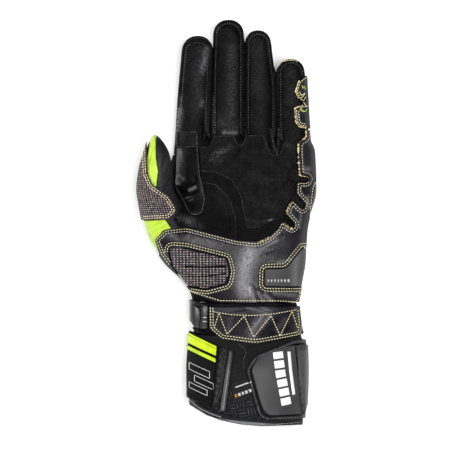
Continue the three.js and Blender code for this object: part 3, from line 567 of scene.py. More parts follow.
PALM_LINES = [
    beside(PALM_TOP_EDGE, 1.5),
    beside(open_edge(PALM_OVERLAY[1:6]), 1.4),
    beside(open_edge(PALM_OVERLAY[1:6]), 3.0),
    beside(open_edge(PALM_OVERLAY[5:8]), 1.4),
]
THENAR_LINES = [beside(THENAR_EDGE, -1.4), beside(THENAR_EDGE, -3.0)]
WEB_LINES = [beside(WEB_EDGE, -1.2), beside(rounded(WEB_BAND), -1.4, True)]
# Rims on the overlays' edges: cut edges, paler as a painted highlight
WEB_RIMS = [beside(WEB_EDGE, -0.2), beside(rounded(WEB_BAND), -0.2, True)]
PALM_RIMS = [beside(PALM_TOP_EDGE, 0.2), beside(open_edge(PALM_OVERLAY[1:7]), 0.2), beside(THENAR_EDGE, -0.2)]
HEEL_OUTER = part_of(beside(HEEL_EDGE, -1.2), (-43, -31), (60.6, 32.6))
HEEL_INNER = part_of(beside(HEEL_EDGE, -3), (-43, -31), (63, 70))
HEEL_LINES = [
    HEEL_END,
    *(part_of_ring(beside(PAD_EDGE, distance, True), (-45, -22), (-27, -50)) for distance in PAD_ROWS),
    *(beside(PATCH_EDGE, distance) for distance in PATCH_ROWS),
    HEEL_HEM,
]
LITTLE_LINE = beside(LITTLE_EDGE, 1.3)
LITTLE_INNER_LINE = part_of(beside(LITTLE_EDGE, 2.9), (55, 85), (60, 75))
GUARD_LINES = [part_of(beside(GUARD_EDGE, -d), (-60 - d, 63), (-63, 2.4 + d)) for d in GUARD_ROWS]
GUARD_RIM = part_of(beside(GUARD_EDGE, -0.4), (-60, 60), (-62, 3))
STRAP_LINES = [*(beside(STRAP_EDGE, distance) for distance in STRAP_ROWS), STRAP_TOP]


# Painted highlights, laid on as paler grain: line, width and strength
FINGER_HIGHLIGHTS = {
    "index": (
        (((-15, 131.5), (-16, 124), (-18, 115)), 2.2, 0.27), (((-17, 128), (-21, 112), (-20, 88)), 6, 0.05),
        (((-18.4, 92.4), (-19.2, 89)), 1.7, 0.16), (((-34, 96), (-35.2, 85)), 1, 0.2),
        (((-35.4, 85), (-37.4, 74), (-38.6, 62)), 2.4, 0.42),
        (((-13, 66), (-15.2, 72), (-15.6, 84)), 0.7, 0.12),
    ),
    "middle": (
        (((4.4, 132), (4.6, 100), (4, 84)), 4.5, 0.075), (((-2, 69.2), (7.4, 68.8)), 1.3, 0.4),
        (((-4, 76), (6, 74)), 5, 0.06), (((-9.4, 66), (-9.4, 78), (-9.6, 96)), 0.7, 0.12),
    ),
    "ring": (
        (((23, 133), (24, 100)), 5, 0.035), (((33.4, 71), (35.2, 62.5), (36.6, 55.6)), 0.7, 0.16),
        (((14.6, 64), (14.4, 80)), 0.6, 0.08),
    ),
    "little": ((((47.9, 112), (48.4, 92)), 4, 0.03), (((39.2, 60), (39.6, 72)), 0.7, 0.14)),
}
WEB_HIGHLIGHTS = (
    (((-36.2, 55.4), (-37.6, 44), (-38.8, 33)), 2, 0.42), (((-34, 55), (-35.4, 34)), 4, 0.1),
    (((-34.6, 54), (-33.6, 48)), 0.9, 0.2), (((-36.4, 36.6), (-32.4, 33.4)), 1, 0.16),
    (((-27.8, 25.4), (-23.6, 27.2)), 1.2, 0.3), (((-29.4, 18.4), (-26.6, 18.8)), 1.3, 0.35),
    (((-37.8, 30.6), (-36.6, 30)), 1.5, 0.4), (((-19.4, 34), (-17.6, 22)), 1, 0.08),
)
PALM_HIGHLIGHTS = (
    (((-11, 52), (-7, 54.6)), 1.3, 0.08), (((-7, 52), (-2, 55.4)), 1.2, 0.09),
    (((-12.4, 47.6), (-6, 50.6)), 1.2, 0.07), (((-3, 53.6), (1.4, 56)), 1.2, 0.08),
    (((-9, 46), (-3, 48)), 1.6, 0.05), (((-6, 54), (2, 58)), 2.6, 0.05), (((31.4, 2), (35, 3.4)), 0.45, 0.4),
    (((15, 3), (24, 0.8), (32, 2.4)), 0.8, 0.05), (((44, 60), (50, 58)), 2.6, 0.05),
    (((18, 36), (34, 31)), 4, 0.02), (((20, 18), (36, 12)), 4, 0.02),
)
THENAR_HIGHLIGHTS = (
    (((-35, 4.4), (-27, 2.4)), 2.6, 0.17), (((-30, 0), (-20, -2)), 3, 0.05), (((-5, 22), (2, 10)), 5, 0.02),
)
STRIP_HIGHLIGHTS = ((((-34, 68), (-34, 59)), 3, 0.04), (((-26, 68), (-26, 59)), 3, 0.02))
# Places of short painted highlight streaks across the heel's diagonal grain
HATCHING = [(x + 0.5 * math.sin(5 * x), -18.4 - 0.25 * x) for x in np.arange(-34, -3, 1.55)]
HEEL_HIGHLIGHTS = (
    *((((x - 2.2, y - 2), (x + 2.2, y + 2)), 0.5, 0.1 + 0.07 * math.sin(9 * x)) for x, y in HATCHING),
    (((17, -22), (13.6, -34), (12.6, -44), (14, -52)), 5.6, 0.66),
    (((30, -12), (40, -6)), 1.2, 0.2), (((26, -19), (38, -13)), 1, 0.22), (((44, -6), (48, 2)), 1.2, 0.15),
    (((17.7, -49), (21, -58.6)), 1.6, 0.5),
    (((24, -52), (28, -58.6)), 1.3, 0.4), (((28.6, -53.6), (34, -58.6)), 1.4, 0.45),
    (((36, -52.6), (51, -54)), 1.7, 0.28),
    (((39, -29.4), (48, -27)), 1, 0.3), (((59, 41.4), (62, 41)), 2, 0.3), (((61.4, 20), (61, 13)), 1.2, 0.4),
    (((56.4, 7), (55, -3)), 1.2, 0.25), (((-46, -9), (-10, -14.6)), 2.4, 0.05),
    (((25, -20), (36, -12)), 4, 0.16),
)
STRAP_HIGHLIGHTS = (
    (((30, -67), (24, -74), (19, -82)), 4.2, 0.22), (((33, -69), (26, -78)), 1.2, 0.3),
    (((27, -70), (19, -80)), 1.2, 0.3), (((16, -63.6), (28, -65.4)), 1.3, 0.16),
    (((3, -72), (2, -80)), 2, 0.08), (((44, -72), (38, -80)), 2, 0.1),
)
CLOSURE_HIGHLIGHTS = ((beside(CLOSURE_EDGE, 1.3), 0.6, 0.24),)
FOLD_HIGHLIGHTS = ((((60, -97), (61, -132)), 4, 0.07),)
PATCH_HIGHLIGHTS = ((((53.4, -22), (51.8, -33), (51.4, -45)), 3, 0.2),)
ROLL_HIGHLIGHTS = ((((3.2, -97), (-2.8, -139)), 0.8, 0.2),)
HEM_HIGHLIGHTS = ((((14, -149.6), (26, -150.8), (37, -151.2)), 1.5, 0.2),)
STRETCH_HIGHLIGHTS = tuple(
    (((-9.6 + 0.13 * (y + 137), y), (-3.4 + 0.13 * (y + 137), y + rise)), 0.35, 0.12)
    for rise, step in ((11, 2.6), (-7, 5.2)) for y in np.arange(-136, -96, step)
)
THUMB_HIGHLIGHTS = ((((-50.8, 46), (-49.4, 40), (-50.4, 33)), 0.9, 0.12), (((-44, 58), (-41.6, 44)), 1.4, 0.06))


# Objects and operators

def only(obj):
    """Selects one object and nothing else."""
    bpy.ops.object.select_all(action="DESELECT")
    obj.select_set(True)
    bpy.context.view_layer.objects.active = obj


@contextmanager
def editing(obj):
    only(obj)
    bpy.ops.object.mode_set(mode="EDIT")
    bpy.ops.mesh.select_all(action="SELECT")
    yield
    bpy.ops.object.mode_set(mode="OBJECT")


def apply(obj, kind, **settings):
    """Adds a modifier and applies it."""
    only(obj)
    modifier = obj.modifiers.new(kind, kind)
    for key, value in settings.items():
        setattr(modifier, key, value)
    bpy.ops.object.modifier_apply(modifier=modifier.name)
    return obj


def named(obj, name):
    obj.name = obj.data.name = name
    return obj


def copy_of(obj, name):
    twin = obj.copy()
    twin.data = obj.data.copy()
    bpy.context.scene.collection.objects.link(twin)
    return named(twin, name)


def vectors_of(obj, kind):
    flat = np.empty(len(obj.data.vertices) * 3)
    obj.data.vertices.foreach_get(kind, flat)
    return flat.reshape(-1, 3)


def normals_of(obj):
    return vectors_of(obj, "normal")


def read(obj):
    """A mesh's points, in the drawing's millimetres."""
    return vectors_of(obj, "co") / MM - SHIFT


def write(obj, points):
    obj.data.vertices.foreach_set("co", ((points + SHIFT) * MM).ravel())
    obj.data.update()


def cut(obj, *tools, operation="DIFFERENCE"):
    for tool in tools:
        apply(obj, "BOOLEAN", operation=operation, object=tool, solver="MANIFOLD")
    return obj


def keep(obj, *tools):
    return cut(obj, *tools, operation="INTERSECT")


def unite(obj, *tools):
    return cut(obj, *tools, operation="UNION")


def largest(obj):
    """Keeps only the biggest of a mesh's loose parts."""
    only(obj)
    bpy.ops.mesh.separate(type="LOOSE")
    parts = sorted(bpy.context.selected_objects, key=lambda part: len(part.data.vertices))
    data = parts[-1].data
    if parts[-1] != obj:
        obj.data, parts[-1].data = data, obj.data
    for part in parts:
        if part != obj:
            bpy.data.objects.remove(part)
    return obj


def remesh(obj, voxel, smooth):
    """Even faces all over, with soft edges."""
    largest(obj)
    apply(obj, "REMESH", mode="VOXEL", voxel_size=voxel * MM)
    return apply(obj, "SMOOTH", factor=0.5, iterations=smooth)


def tube(name, rings):
    """A closed tube: a circle, extruded on from ring to ring, with both ends filled."""
    count, sides = rings.shape[:2]
    bpy.ops.mesh.primitive_circle_add(vertices=sides, radius=1, rotation=(math.pi / 2, 0, 0))
    obj = named(bpy.context.object, name)
    bpy.ops.object.transform_apply(location=True, rotation=True, scale=True)
    with editing(obj):
        for _ in range(count - 1):
            bpy.ops.mesh.extrude_region_move(TRANSFORM_OT_translate={"value": (0, 1, 0)})
        bpy.ops.mesh.select_all(action="SELECT")
        bpy.ops.mesh.fill_holes(sides=0)
    place = np.array([v.co for v in obj.data.vertices])
    ring = np.rint(place[:, 1]).astype(int)
    turn = np.rint(np.arctan2(place[:, 2], place[:, 0]) * sides / (2 * math.pi)).astype(int) % sides
    write(obj, rings[ring, turn])
    with editing(obj):
        bpy.ops.mesh.normals_make_consistent(inside=False)
    return obj


def block(outline, low=LOW, high=HIGH, slant=0.0, across=False):
    """The space over a flat outline, between two levels, or across X over an outline along Y and Z."""
    outline = np.asarray(outline, float)
    bpy.ops.mesh.primitive_circle_add(vertices=len(outline), radius=1, fill_type="NGON")
    obj = named(bpy.context.object, "cutter")
    level = np.full((len(outline), 1), low)
    write(obj, np.hstack((level, outline) if across else (outline, level)))
    reach = (high - low) * MM
    with editing(obj):
        way = (reach, 0, 0) if across else (0, 0, reach)
        bpy.ops.mesh.extrude_region_move(TRANSFORM_OT_translate={"value": way})
        bpy.ops.mesh.select_all(action="SELECT")
        bpy.ops.mesh.normals_make_consistent(inside=False)
    if slant:
        points = read(obj)
        points[:, 1] -= slant * (1 - points[:, 2] / MOUTH_HEIGHT)
        write(obj, points)
    return obj


def over(corners, low=LOW, grow=0.0):
    return block(grown(rounded(corners), grow), low)


def band(low, high):
    return block(((-FAR, low), (FAR, low), (FAR, high), (-FAR, high)))


def above(level):
    return block(EVERYWHERE, level)


def below(level):
    return block(EVERYWHERE, LOW, level)


def strip_space(line, width, low):
    """The space over a strip of even width along a line."""
    left, right = (beside(line, side * width / 2) for side in (1, -1))
    return block(np.vstack((left, right[::-1])), low)


# Forms that the pieces are cut from

def fused(name, *parts):
    """One soft form: parts joined, with smooth hollows where they meet."""
    form = copy_of(parts[0], name)
    unite(form, *parts[1:])
    return remesh(form, FORM_VOXEL, 14)


TUBES = {name: tube(name, finger_rings(name)) for name in FINGERS}
TUBES["thumb"] = tube("thumb", thumb_rings())
TUBES["body"] = tube("body", body_rings())
# Neighbouring fingers are on different forms, so that each is cut with its own round sides.
JOINED = {
    "all": ("body", "thumb", "index", "middle", "ring", "little"),
    "odd": ("body", "thumb", "index", "ring"),
    "even": ("body", "middle", "little"),
}
FORMS = {which: fused(which, *(TUBES[name] for name in names)) for which, names in JOINED.items()}
FORMS["body"] = TUBES["body"]
grown_forms = {}


def form(grow, which):
    """A form with its face moved outwards."""
    if (grow, which) not in grown_forms:
        made = copy_of(FORMS[which], f"{which}_{grow}")
        write(made, read(made) + normals_of(made) * grow)
        if abs(grow) > 1:
            remesh(made, FORM_VOXEL, 1)
        grown_forms[grow, which] = made
    return grown_forms[grow, which]


def layer(region, thickness, start=GAP, which="all", less=(), within=(), voxel=LAYER_VOXEL, smooth=4):
    """A layer of even thickness that lies on the form, inside a region."""
    piece = copy_of(form(round(start + thickness, 3), which), "layer")
    keep(piece, region, *within)
    cut(piece, form(start, which), *less)
    return remesh(piece, voxel, smooth)


# Folds, dents and painted highlights

def moved(obj, *distances):
    """Moves each point along the face by the sum of the distances, in millimetres."""
    total = sum(distances)
    write(obj, read(obj) + normals_of(obj) * total[:, None])
    return obj


def facing_up(obj):
    return np.clip(normals_of(obj)[:, 2] * 2, 0, 1)


def pressed(obj, line, depth, width):
    """A groove along a line that is seen from above."""
    away = distance_to(read(obj), line)
    return moved(obj, -depth * np.exp(-(away / width) ** 2) * facing_up(obj))


def grooved(obj, rows, depth, width):
    for line in rows:
        pressed(obj, line, depth, width)


def bulged(obj, line, width, rise):
    """A soft swelling along a line."""
    away = distance_to(read(obj), resample(line, 2), reach=2.5 * width)
    return moved(obj, rise * np.exp(-(away / width) ** 2) * facing_up(obj))


def uneven(obj, size, depth, stretch=(1, 1, 1), seed=0.0):
    """Soft unevenness of one size all over a piece."""
    scale = np.array(stretch) / size
    points = read(obj) * scale + seed
    return moved(obj, depth * np.array([noise.noise(p) for p in points]))


def painted_sheen(obj, marks):
    """Painted highlights: places paler than the rest, each a line with a width and a strength, stronger on
    faces turned up.
    """
    points = read(obj)
    total = np.zeros(len(points))
    for line, width, strength in marks:
        away = distance_to(points, resample(line, 1), reach=2.5 * width)
        total += strength * np.exp(-(away / width) ** 2)
    total *= np.clip(normals_of(obj)[:, 2] + 0.9, 0, 1)
    made = obj.data.attributes.new("painted_sheen", "FLOAT", "POINT")
    made.data.foreach_set("value", total.astype(np.float32))
    return obj


def creased(obj, folds):
    """Creases, each a row of x y length turn width depth: a valley with a soft ridge on both sides."""
    points = read(obj)
    total = np.zeros(len(points))
    for x, y, length, turn, width, depth in folds:
        angle = math.radians(turn)
        run = np.array((math.cos(angle), math.sin(angle)))
        offset = points[:, :2] - (x, y)
        along = offset @ run / (length / 2)
        across = (offset @ (-run[1], run[0])) / width
        across = across + 0.35 * np.sin(along * 2.6)
        fade = np.clip(1 - along ** 2, 0, 1)
        total -= depth * fade * (1 - 1.1 * across ** 2) * np.exp(-across ** 2)
    return moved(obj, total * facing_up(obj))


def crown(obj, edge, reach, drop):
    """Rounds a pad down towards its edge."""
    away = distance_to(read(obj), edge, True, reach)
    share = np.clip(1 - away / reach, 0, 1)
    return moved(obj, -drop * share ** 2 * facing_up(obj))


def swollen(obj, cap, pressure=4, frames=20):
    """Blows a pad up as cloth under pressure. Its top swells by no more than the cap."""
    start = read(obj)
    share = facing_up(obj)
    swelling = obj.modifiers.new("swelling", "CLOTH")
    swelling.settings.use_pressure = True
    swelling.settings.uniform_pressure_force = pressure
    swelling.settings.effector_weights.gravity = 0
    for number in range(1, frames + 1):
        bpy.context.scene.frame_set(number)
    only(obj)
    bpy.ops.object.modifier_apply(modifier=swelling.name)
    move = (read(obj) - start) * share[:, None]
    length = np.linalg.norm(move, axis=1)
    write(obj, start + move * np.minimum(1, cap / np.maximum(length, 1e-6))[:, None])
    bpy.context.scene.frame_set(1)


def rolled(obj, edge, width, rise):
    """A bound edge: a soft roll along a line, with a groove behind it."""
    away = distance_to(read(obj), edge)
    roll = np.sqrt(np.clip(1 - (away / width) ** 2, 0, 1))
    groove = np.exp(-((away - width * 1.2) / 0.6) ** 2)
    return moved(obj, (rise * roll - 0.9 * groove) * facing_up(obj))


def ribbed_roll(obj, line, width, rise, pitch):
    """A soft roll along a line, bound with ribs that cross it."""
    points = read(obj)
    line = resample(line, 0.5)
    away = distance_to(points, line)
    run = line[-1] - line[0]
    along = (points[:, :2] - line[0]) @ (run / np.linalg.norm(run))
    roll = np.sqrt(np.clip(1 - (away / width) ** 2, 0, 1))
    shape = roll * (rise + 0.45 * np.cos(along * 2 * math.pi / pitch))
    groove = 0.5 * np.exp(-((away - width * 1.15) / 0.6) ** 2)
    return moved(obj, (shape - groove) * facing_up(obj))


def woven_over(obj, places, pitches):
    """Threads follow the piece's own surface: their counts across and along it go in an attribute."""
    made = obj.data.attributes.new("weave", "FLOAT_VECTOR", "POINT")
    made.data.foreach_set("vector", (places / (*pitches, 1)).astype(np.float32).ravel())


# Finishes

GRAIN_LEAN = math.radians(42)
HOLE_STEPS = (2.1, 3.4)
EMBOSS_CELL = 7.2
EMBOSS_TURN = math.radians(-12)


def linear(code):
    """An sRGB hex colour as linear red, green, blue and alpha."""
    levels = [int(code[i:i + 2], 16) / 255 for i in (1, 3, 5)]
    return (*(v / 12.92 if v <= 0.04045 else ((v + 0.055) / 1.055) ** 2.4 for v in levels), 1)


class Finish:
    """A material, with constants set on its shader's own sockets. The steps below add nodes to it."""

    def __init__(self, name, roughness, colour="#808080", **shader):
        self.material = bpy.data.materials.new(name)
        self.material.use_nodes = True
        self.tree = self.material.node_tree
        self.shader = self.tree.nodes["Principled BSDF"].inputs
        self.shader["Base Color"].default_value = linear(colour)
        self.shader["Roughness"].default_value = roughness
        for key, value in shader.items():
            self.shader[key.replace("_", " ")].default_value = value
        where = self.add("ShaderNodeTexCoord").outputs
        self.place, self.normal = where["Object"], where["Normal"]

    def add(self, kind, settings=None, inputs=None):
        """Adds a node with its settings, and its inputs as values or links."""
        node = self.tree.nodes.new(kind)
        for key, value in (settings or {}).items():
            setattr(node, key, value)
        for key, value in (inputs or {}).items():
            if isinstance(value, bpy.types.NodeSocket):
                self.tree.links.new(value, node.inputs[key])
            else:
                node.inputs[key].default_value = value
        return node

    def join(self, **links):
        for key, socket in links.items():
            self.tree.links.new(socket, self.shader[key.replace("_", " ")])

    def math(self, operation, *values):
        return self.add("ShaderNodeMath", {"operation": operation}, dict(enumerate(values))).outputs[0]

    def vector(self, operation, *values):
        return self.add("ShaderNodeVectorMath", {"operation": operation}, dict(enumerate(values))).outputs

    def parts(self, vector):
        return self.add("ShaderNodeSeparateXYZ", inputs={0: vector}).outputs

    def times(self, a, b):
        return self.math("MULTIPLY", a, b)

    def total(self, *terms):
        """A sum of values, each times its weight."""
        total = 0.0
        for value, weight in terms:
            total = self.math("MULTIPLY_ADD", value, weight, total)
        return total

    def off_middle(self, value):
        """How far a number lies from the middle between two whole ones, from 0 to 0.5."""
        return self.math("ABSOLUTE", self.math("SUBTRACT", self.math("FRACT", value), 0.5))

    def noise(self, size, detail=3.0, roughness=0.55, distortion=0.0, place=None):
        """Noise whose lumps are of a real size, in millimetres."""
        values = {"Scale": 1 / (size * MM), "Detail": detail, "Roughness": roughness}
        values.update({"Vector": self.place if place is None else place, "Distortion": distortion})
        return self.add("ShaderNodeTexNoise", inputs=values).outputs["Fac"]

    def mixed(self, factor, low, high):
        """A mix of two colours, each a socket or an sRGB hex code."""
        low, high = (linear(colour) if isinstance(colour, str) else colour for colour in (low, high))
        values = {"Factor": factor, 6: low, 7: high}
        return self.add("ShaderNodeMix", {"data_type": "RGBA"}, values).outputs[2]

    def shades(self, factor, low, high, start=0.35, end=0.65):
        """A colour that runs from low to high as the factor goes from start to end."""
        ramp = self.add("ShaderNodeValToRGB", inputs={"Fac": factor})
        for element, place, colour in zip(ramp.color_ramp.elements, (start, end), (low, high)):
            element.position = place
            element.color = linear(colour)
        return ramp.outputs["Color"]

    def span(self, factor, low, high, start=0.0, end=1.0):
        """A number that runs from low to high as the factor goes from start to end."""
        values = {"Value": factor, "From Min": start, "From Max": end, "To Min": low, "To Max": high}
        return self.add("ShaderNodeMapRange", inputs=values).outputs["Result"]

    def bumped(self, height, millimetres, under=None):
        """Relief of a real depth, on top of the relief under it."""
        values = {"Height": height, "Distance": millimetres * MM, "Strength": 1}
        if under is not None:
            values["Normal"] = under
        normal = self.add("ShaderNodeBump", inputs=values).outputs["Normal"]
        self.join(Normal=normal)
        return normal

    def painted_sheen(self, ground, grain, least=0.08, shine="#b4b2b4", place=None):
        """Painted highlights: pale crumbs of grain, as strong as the painted sheen attribute says."""
        sheen_share = self.add("ShaderNodeAttribute", {"attribute_name": "painted_sheen"}).outputs["Fac"]
        crumbs = self.span(self.noise(grain, 3, 0.65, place=place), least, 1, 0.44, 0.6)
        return self.mixed(self.times(sheen_share, crumbs), ground, shine)


def hide(name, dark, light, roughness, grain, grain_depth, crease, crease_depth, gloss,
         least=0.08, stretch=1.4):
    """Drummed leather: a pebble grain with pores, soft creases, dye that is paler on the raised folds, and
    painted highlights as pale grain.
    """
    it = Finish(name, roughness, dark, Specular_IOR_Level=gloss)
    lean = {"Vector": it.place, "Rotation": (0, 0, GRAIN_LEAN), "Scale": (stretch, 1 / stretch, 1)}
    leaning = it.add("ShaderNodeMapping", {"vector_type": "TEXTURE"}, lean).outputs[0]
    pebbles = {"Vector": leaning, "Scale": 1 / (grain * MM), "Smoothness": 0.4}
    pebble = it.add("ShaderNodeTexVoronoi", {"feature": "SMOOTH_F1"}, pebbles).outputs["Distance"]
    pores = it.noise(grain * 0.45, 2)
    folds = it.noise(crease, 5, 0.6, 0.8)
    patches = it.noise(crease * 3, 3)
    fine = it.noise(grain * 1.1, 3, 0.65, place=leaning)
    ground = it.shades(it.total((folds, 0.3), (patches, 0.2), (fine, 0.5)), dark, light, 0.42, 0.62)
    up = it.parts(it.normal)[2]
    edges = it.span(up, 0.85, roughness - 0.1, 0.1, 0.75)
    face = it.span(patches, roughness - 0.07, roughness + 0.09, 0.3, 0.7)
    # Pale grey painted highlights where the painted sheen attribute is set
    it.join(Base_Color=it.painted_sheen(ground, grain, least, "#b4b2b5", leaning),
            Roughness=it.math("MAXIMUM", edges, face))
    soft = it.bumped(folds, crease_depth)
    it.bumped(it.total((pebble, 1), (pores, 0.5)), grain_depth, soft)
    return it.material


def suede(name):
    """Split leather with its nap up: dull, a little mottled, with rows of fine holes."""
    it = Finish(name, 0.8, "#101010", Specular_IOR_Level=0.06)
    nap = it.noise(1, 4, 0.7)
    mottle = it.noise(6, 4, 0.6)
    tone = it.total((nap, 0.65), (mottle, 0.35))
    steps = tuple(1 / (step * MM) for step in HOLE_STEPS)
    inside = it.vector("FRACTION", it.vector("MULTIPLY", it.place, (*steps, 0))[0])[0]
    apart = it.vector("SUBTRACT", inside, (0.5, 0.5, 0))[0]
    away = it.vector("LENGTH", it.vector("MULTIPLY", apart, (*HOLE_STEPS, 0))[0])["Value"]
    hole = it.span(away, 0, 1, 0.35, 0.55)
    ground = it.shades(tone, "#030303", "#212121", 0.4, 0.64)
    # The holes are painted darker: painted shade in them
    colour = it.mixed(it.span(hole, 0.45, 1), "#050505", ground)
    # Painted highlights where the painted sheen attribute is set
    it.join(Base_Color=it.painted_sheen(colour, 1.1))
    soft = it.bumped(nap, 0.35)
    it.bumped(hole, 0.25, soft)
    return it.material


def woven(name, attribute):
    """Aramid cloth: purple-brown threads, crossed by pale ones that show in columns of short flecks."""
    it = Finish(name, 0.85, "#4a3f4d", Specular_IOR_Level=0.15,
                Sheen_Weight=0.06, Sheen_Roughness=0.5)
    counts = it.parts(it.add("ShaderNodeAttribute", {"attribute_name": attribute}).outputs["Vector"])
    wave = it.noise(12, 2)
    speckle = it.noise(1.8, 3)
    column, row = (it.total((counts[k], 1), (wave, 0.5)) for k in range(2))
    across, along = it.off_middle(column), it.off_middle(row)
    weft = it.off_middle(it.times(column, 3))
    on_column, on_row = it.span(across, 1, 0, 0.11, 0.22), it.span(along, 1, 0, 0.18, 0.3)
    between = it.span(across, 0, 0.45, 0.4, 0.46)
    weak = it.times(between, it.span(speckle, 0, 1, 0.45, 0.6))
    thread_on_top = it.times(it.math("MAXIMUM", on_column, weak), on_row)
    fleck = it.times(thread_on_top, it.span(speckle, 0.25, 1, 0.36, 0.6))
    weft_gap, row_gap = it.span(weft, 0, 0.5, 0.34, 0.48), it.span(along, 0, 0.75, 0.34, 0.48)
    gap = it.math("MAXIMUM", weft_gap, row_gap)
    # Near black in the gaps between threads: painted shade
    dark = it.mixed(gap, it.shades(speckle, "#261e2c", "#463a4c", 0.3, 0.7), "#0a080c")
    it.join(Base_Color=it.mixed(fleck, dark, "#d8c8b4"))
    it.bumped(it.math("SUBTRACT", fleck, gap), 0.3)
    return it.material


def neon(name, dark, light):
    """Fluorescent dyed leather: an even, bright yellow-green with a fine grain."""
    it = Finish(name, 0.45, light, Specular_IOR_Level=0.35)
    folds = it.noise(9, 4)
    it.join(Base_Color=it.shades(folds, dark, light))
    soft = it.bumped(folds, 0.6)
    it.bumped(it.noise(0.8), 0.08, soft)
    return it.material


def rubber(name, dark, light, roughness, gloss=0.35):
    """Moulded rubber: smooth and satin, with a faint spark-eroded texture from its mould."""
    it = Finish(name, roughness, dark, Specular_IOR_Level=gloss)
    ground = it.shades(it.noise(18, 2), dark, light)
    texture = it.noise(0.7, 2)
    # Painted highlights where the painted sheen attribute is set
    it.join(Base_Color=it.painted_sheen(ground, 6, 0.85),
            Roughness=it.span(texture, roughness - 0.05, roughness + 0.08, 0.3, 0.7))
    it.bumped(texture, 0.04)
    return it.material


def cloth(name, dark, light, pitch=0.9, depth=0.12, sheen=0.1, roughness=0.85):
    """Dense woven nylon: two sets of threads that cross, with painted shade between them."""
    it = Finish(name, roughness, dark, Specular_IOR_Level=0.15,
                Sheen_Weight=sheen, Sheen_Roughness=0.5)
    turns = it.parts(it.vector("MULTIPLY", it.place, (math.pi / (pitch * MM),) * 3)[0])
    ribs = [it.math("ABSOLUTE", it.math("SINE", turns[k])) for k in range(2)]
    weave = it.times(*ribs)
    tone = it.total((weave, 0.4), (it.noise(5, 4), 0.6))
    ground = it.shades(tone, dark, light, 0.3, 0.75)
    # Painted highlights where the painted sheen attribute is set
    it.join(Base_Color=it.painted_sheen(ground, 1.2))
    it.bumped(weave, depth)
    return it.material


def embossed_cloth(name):
    """Coated neoprene with a pressed basket pattern: three short ridges in each cell, along and across."""
    it = Finish(name, 0.7, "#161617", Specular_IOR_Level=0.1)
    turn = {"Vector": it.place, "Rotation": (0, 0, EMBOSS_TURN)}
    turned = it.add("ShaderNodeMapping", inputs=turn).outputs[0]
    cells = it.vector("MULTIPLY", turned, (1 / (EMBOSS_CELL * MM), 1 / (EMBOSS_CELL * MM), 0))[0]
    whole = it.parts(it.vector("FLOOR", cells)[0])
    inside = it.parts(it.vector("FRACTION", cells)[0])
    odd = it.math("PINGPONG", it.math("ADD", whole[0], whole[1]), 1)
    run, end = (it.add("ShaderNodeMix", inputs={"Factor": odd, 2: inside[a], 3: inside[b]}).outputs[0]
                for a, b in ((0, 1), (1, 0)))
    ridge = it.span(it.off_middle(it.times(run, 3)), 1, 0, 0.05, 0.2)
    short = it.span(it.math("ABSOLUTE", it.math("SUBTRACT", end, 0.5)), 1, 0, 0.36, 0.44)
    ridges = it.times(ridge, short)
    # Pale ridges in random patches, strong only near the cuff's open end
    patchy = it.span(it.noise(5, 4, 0.7), 0, 1, 0.4, 0.6)
    low = it.span(it.parts(it.place)[1], 1, 0.1, -0.13, -0.118)
    pale = it.times(it.times(ridges, patchy), low)
    ground = it.shades(it.noise(1.6, 4, 0.7), "#0b0b0c", "#1b1b1c", 0.3, 0.7)
    it.join(Base_Color=it.mixed(pale, ground, "#4c4c4f"))
    soft = it.bumped(it.times(ridges, low), 0.3)
    it.bumped(it.noise(0.9, 3, 0.7), 0.12, soft)
    return it.material


def thread(name, colour, pale, roughness=0.6, gloss=0.4):
    """Bonded polyester sewing thread: two plies twisted together, with a slight lustre."""
    it = Finish(name, roughness, colour, Specular_IOR_Level=gloss)
    it.join(Base_Color=it.shades(it.noise(1.4, 2), colour, pale))
    twist = {"Vector": it.place, "Scale": 1 / (1.2 * MM), "Distortion": 0.5}
    it.bumped(it.add("ShaderNodeTexWave", inputs=twist).outputs["Fac"], 0.08)
    return it.material


GOATSKIN = hide("goatskin, drum-dyed matte black", "#020203", "#151516", 0.36, 1.15, 0.3, 8, 0.15, 0.05)
DULL_HIDE = hide("goatskin, brushed dull", "#030304", "#121213", 0.55, 1.1, 0.2, 6, 0.2, 0.04)
THUMB_HIDE = hide("goatskin, dull grey black", "#1a1a1b", "#2f2f31", 0.5, 1.0, 0.2, 9, 0.2, 0.15)
GLOSS_HIDE = hide("goatskin, polished, with smooth painted highlights", "#020202", "#090909", 0.34, 1.2, 0.14, 6, 0.2, 0.06, 0.4)
COWHIDE = hide("cowhide, semi-gloss with a purple cast", "#0b090d", "#201d25", 0.36, 1.0, 0.16, 9, 0.08, 0.26,
               0.34, 2.2)
SUEDE = suede("split suede, perforated")
WOVEN = woven("aramid cloth, woven", "weave")
NEON = neon("cowhide, fluorescent", "#a6c62e", "#bcda42")
NEON_TAPE = neon("ribbon, fluorescent", "#a9c404", "#c6e20c")
GREY_RUBBER = rubber("rubber, moulded dark grey", "#373738", "#404041", 0.5, 0.22)
BLACK_RUBBER = rubber("rubber, moulded black", "#0f0f10", "#19191a", 0.32, 0.42)
CUFF_CLOTH = embossed_cloth("neoprene, embossed black")
FLAP_CLOTH = cloth("microfibre, black", "#09090a", "#111112", 0.7, 0.06, 0.0, 0.9)
BINDING = cloth("binding tape, black nylon", "#08080a", "#1e1e20", 0.8, 0.15, 0.0, 0.4)
LINING_CLOTH = cloth("jersey lining, grey", "#6c6d6f", "#9c9d9f", 1.0, 0.2)
ROLL = rubber("piping, grey polyurethane", "#121213", "#1e1e20", 0.36, 0.5)
CREAM = thread("sewing thread, cream", "#e2d69c", "#fff6cc")
SILVER = thread("sewing thread, off white", "#c4beae", "#eae6d8")
PALE = thread("sewing thread, pale grey", "#b4b4b2", "#d8d8d6")
GREY = thread("sewing thread, grey", "#4a4a4c", "#8c8c8f", 0.6, 0.2)
INK = thread("sewing thread, black", "#131315", "#2a2a2c", 0.6, 0.2)
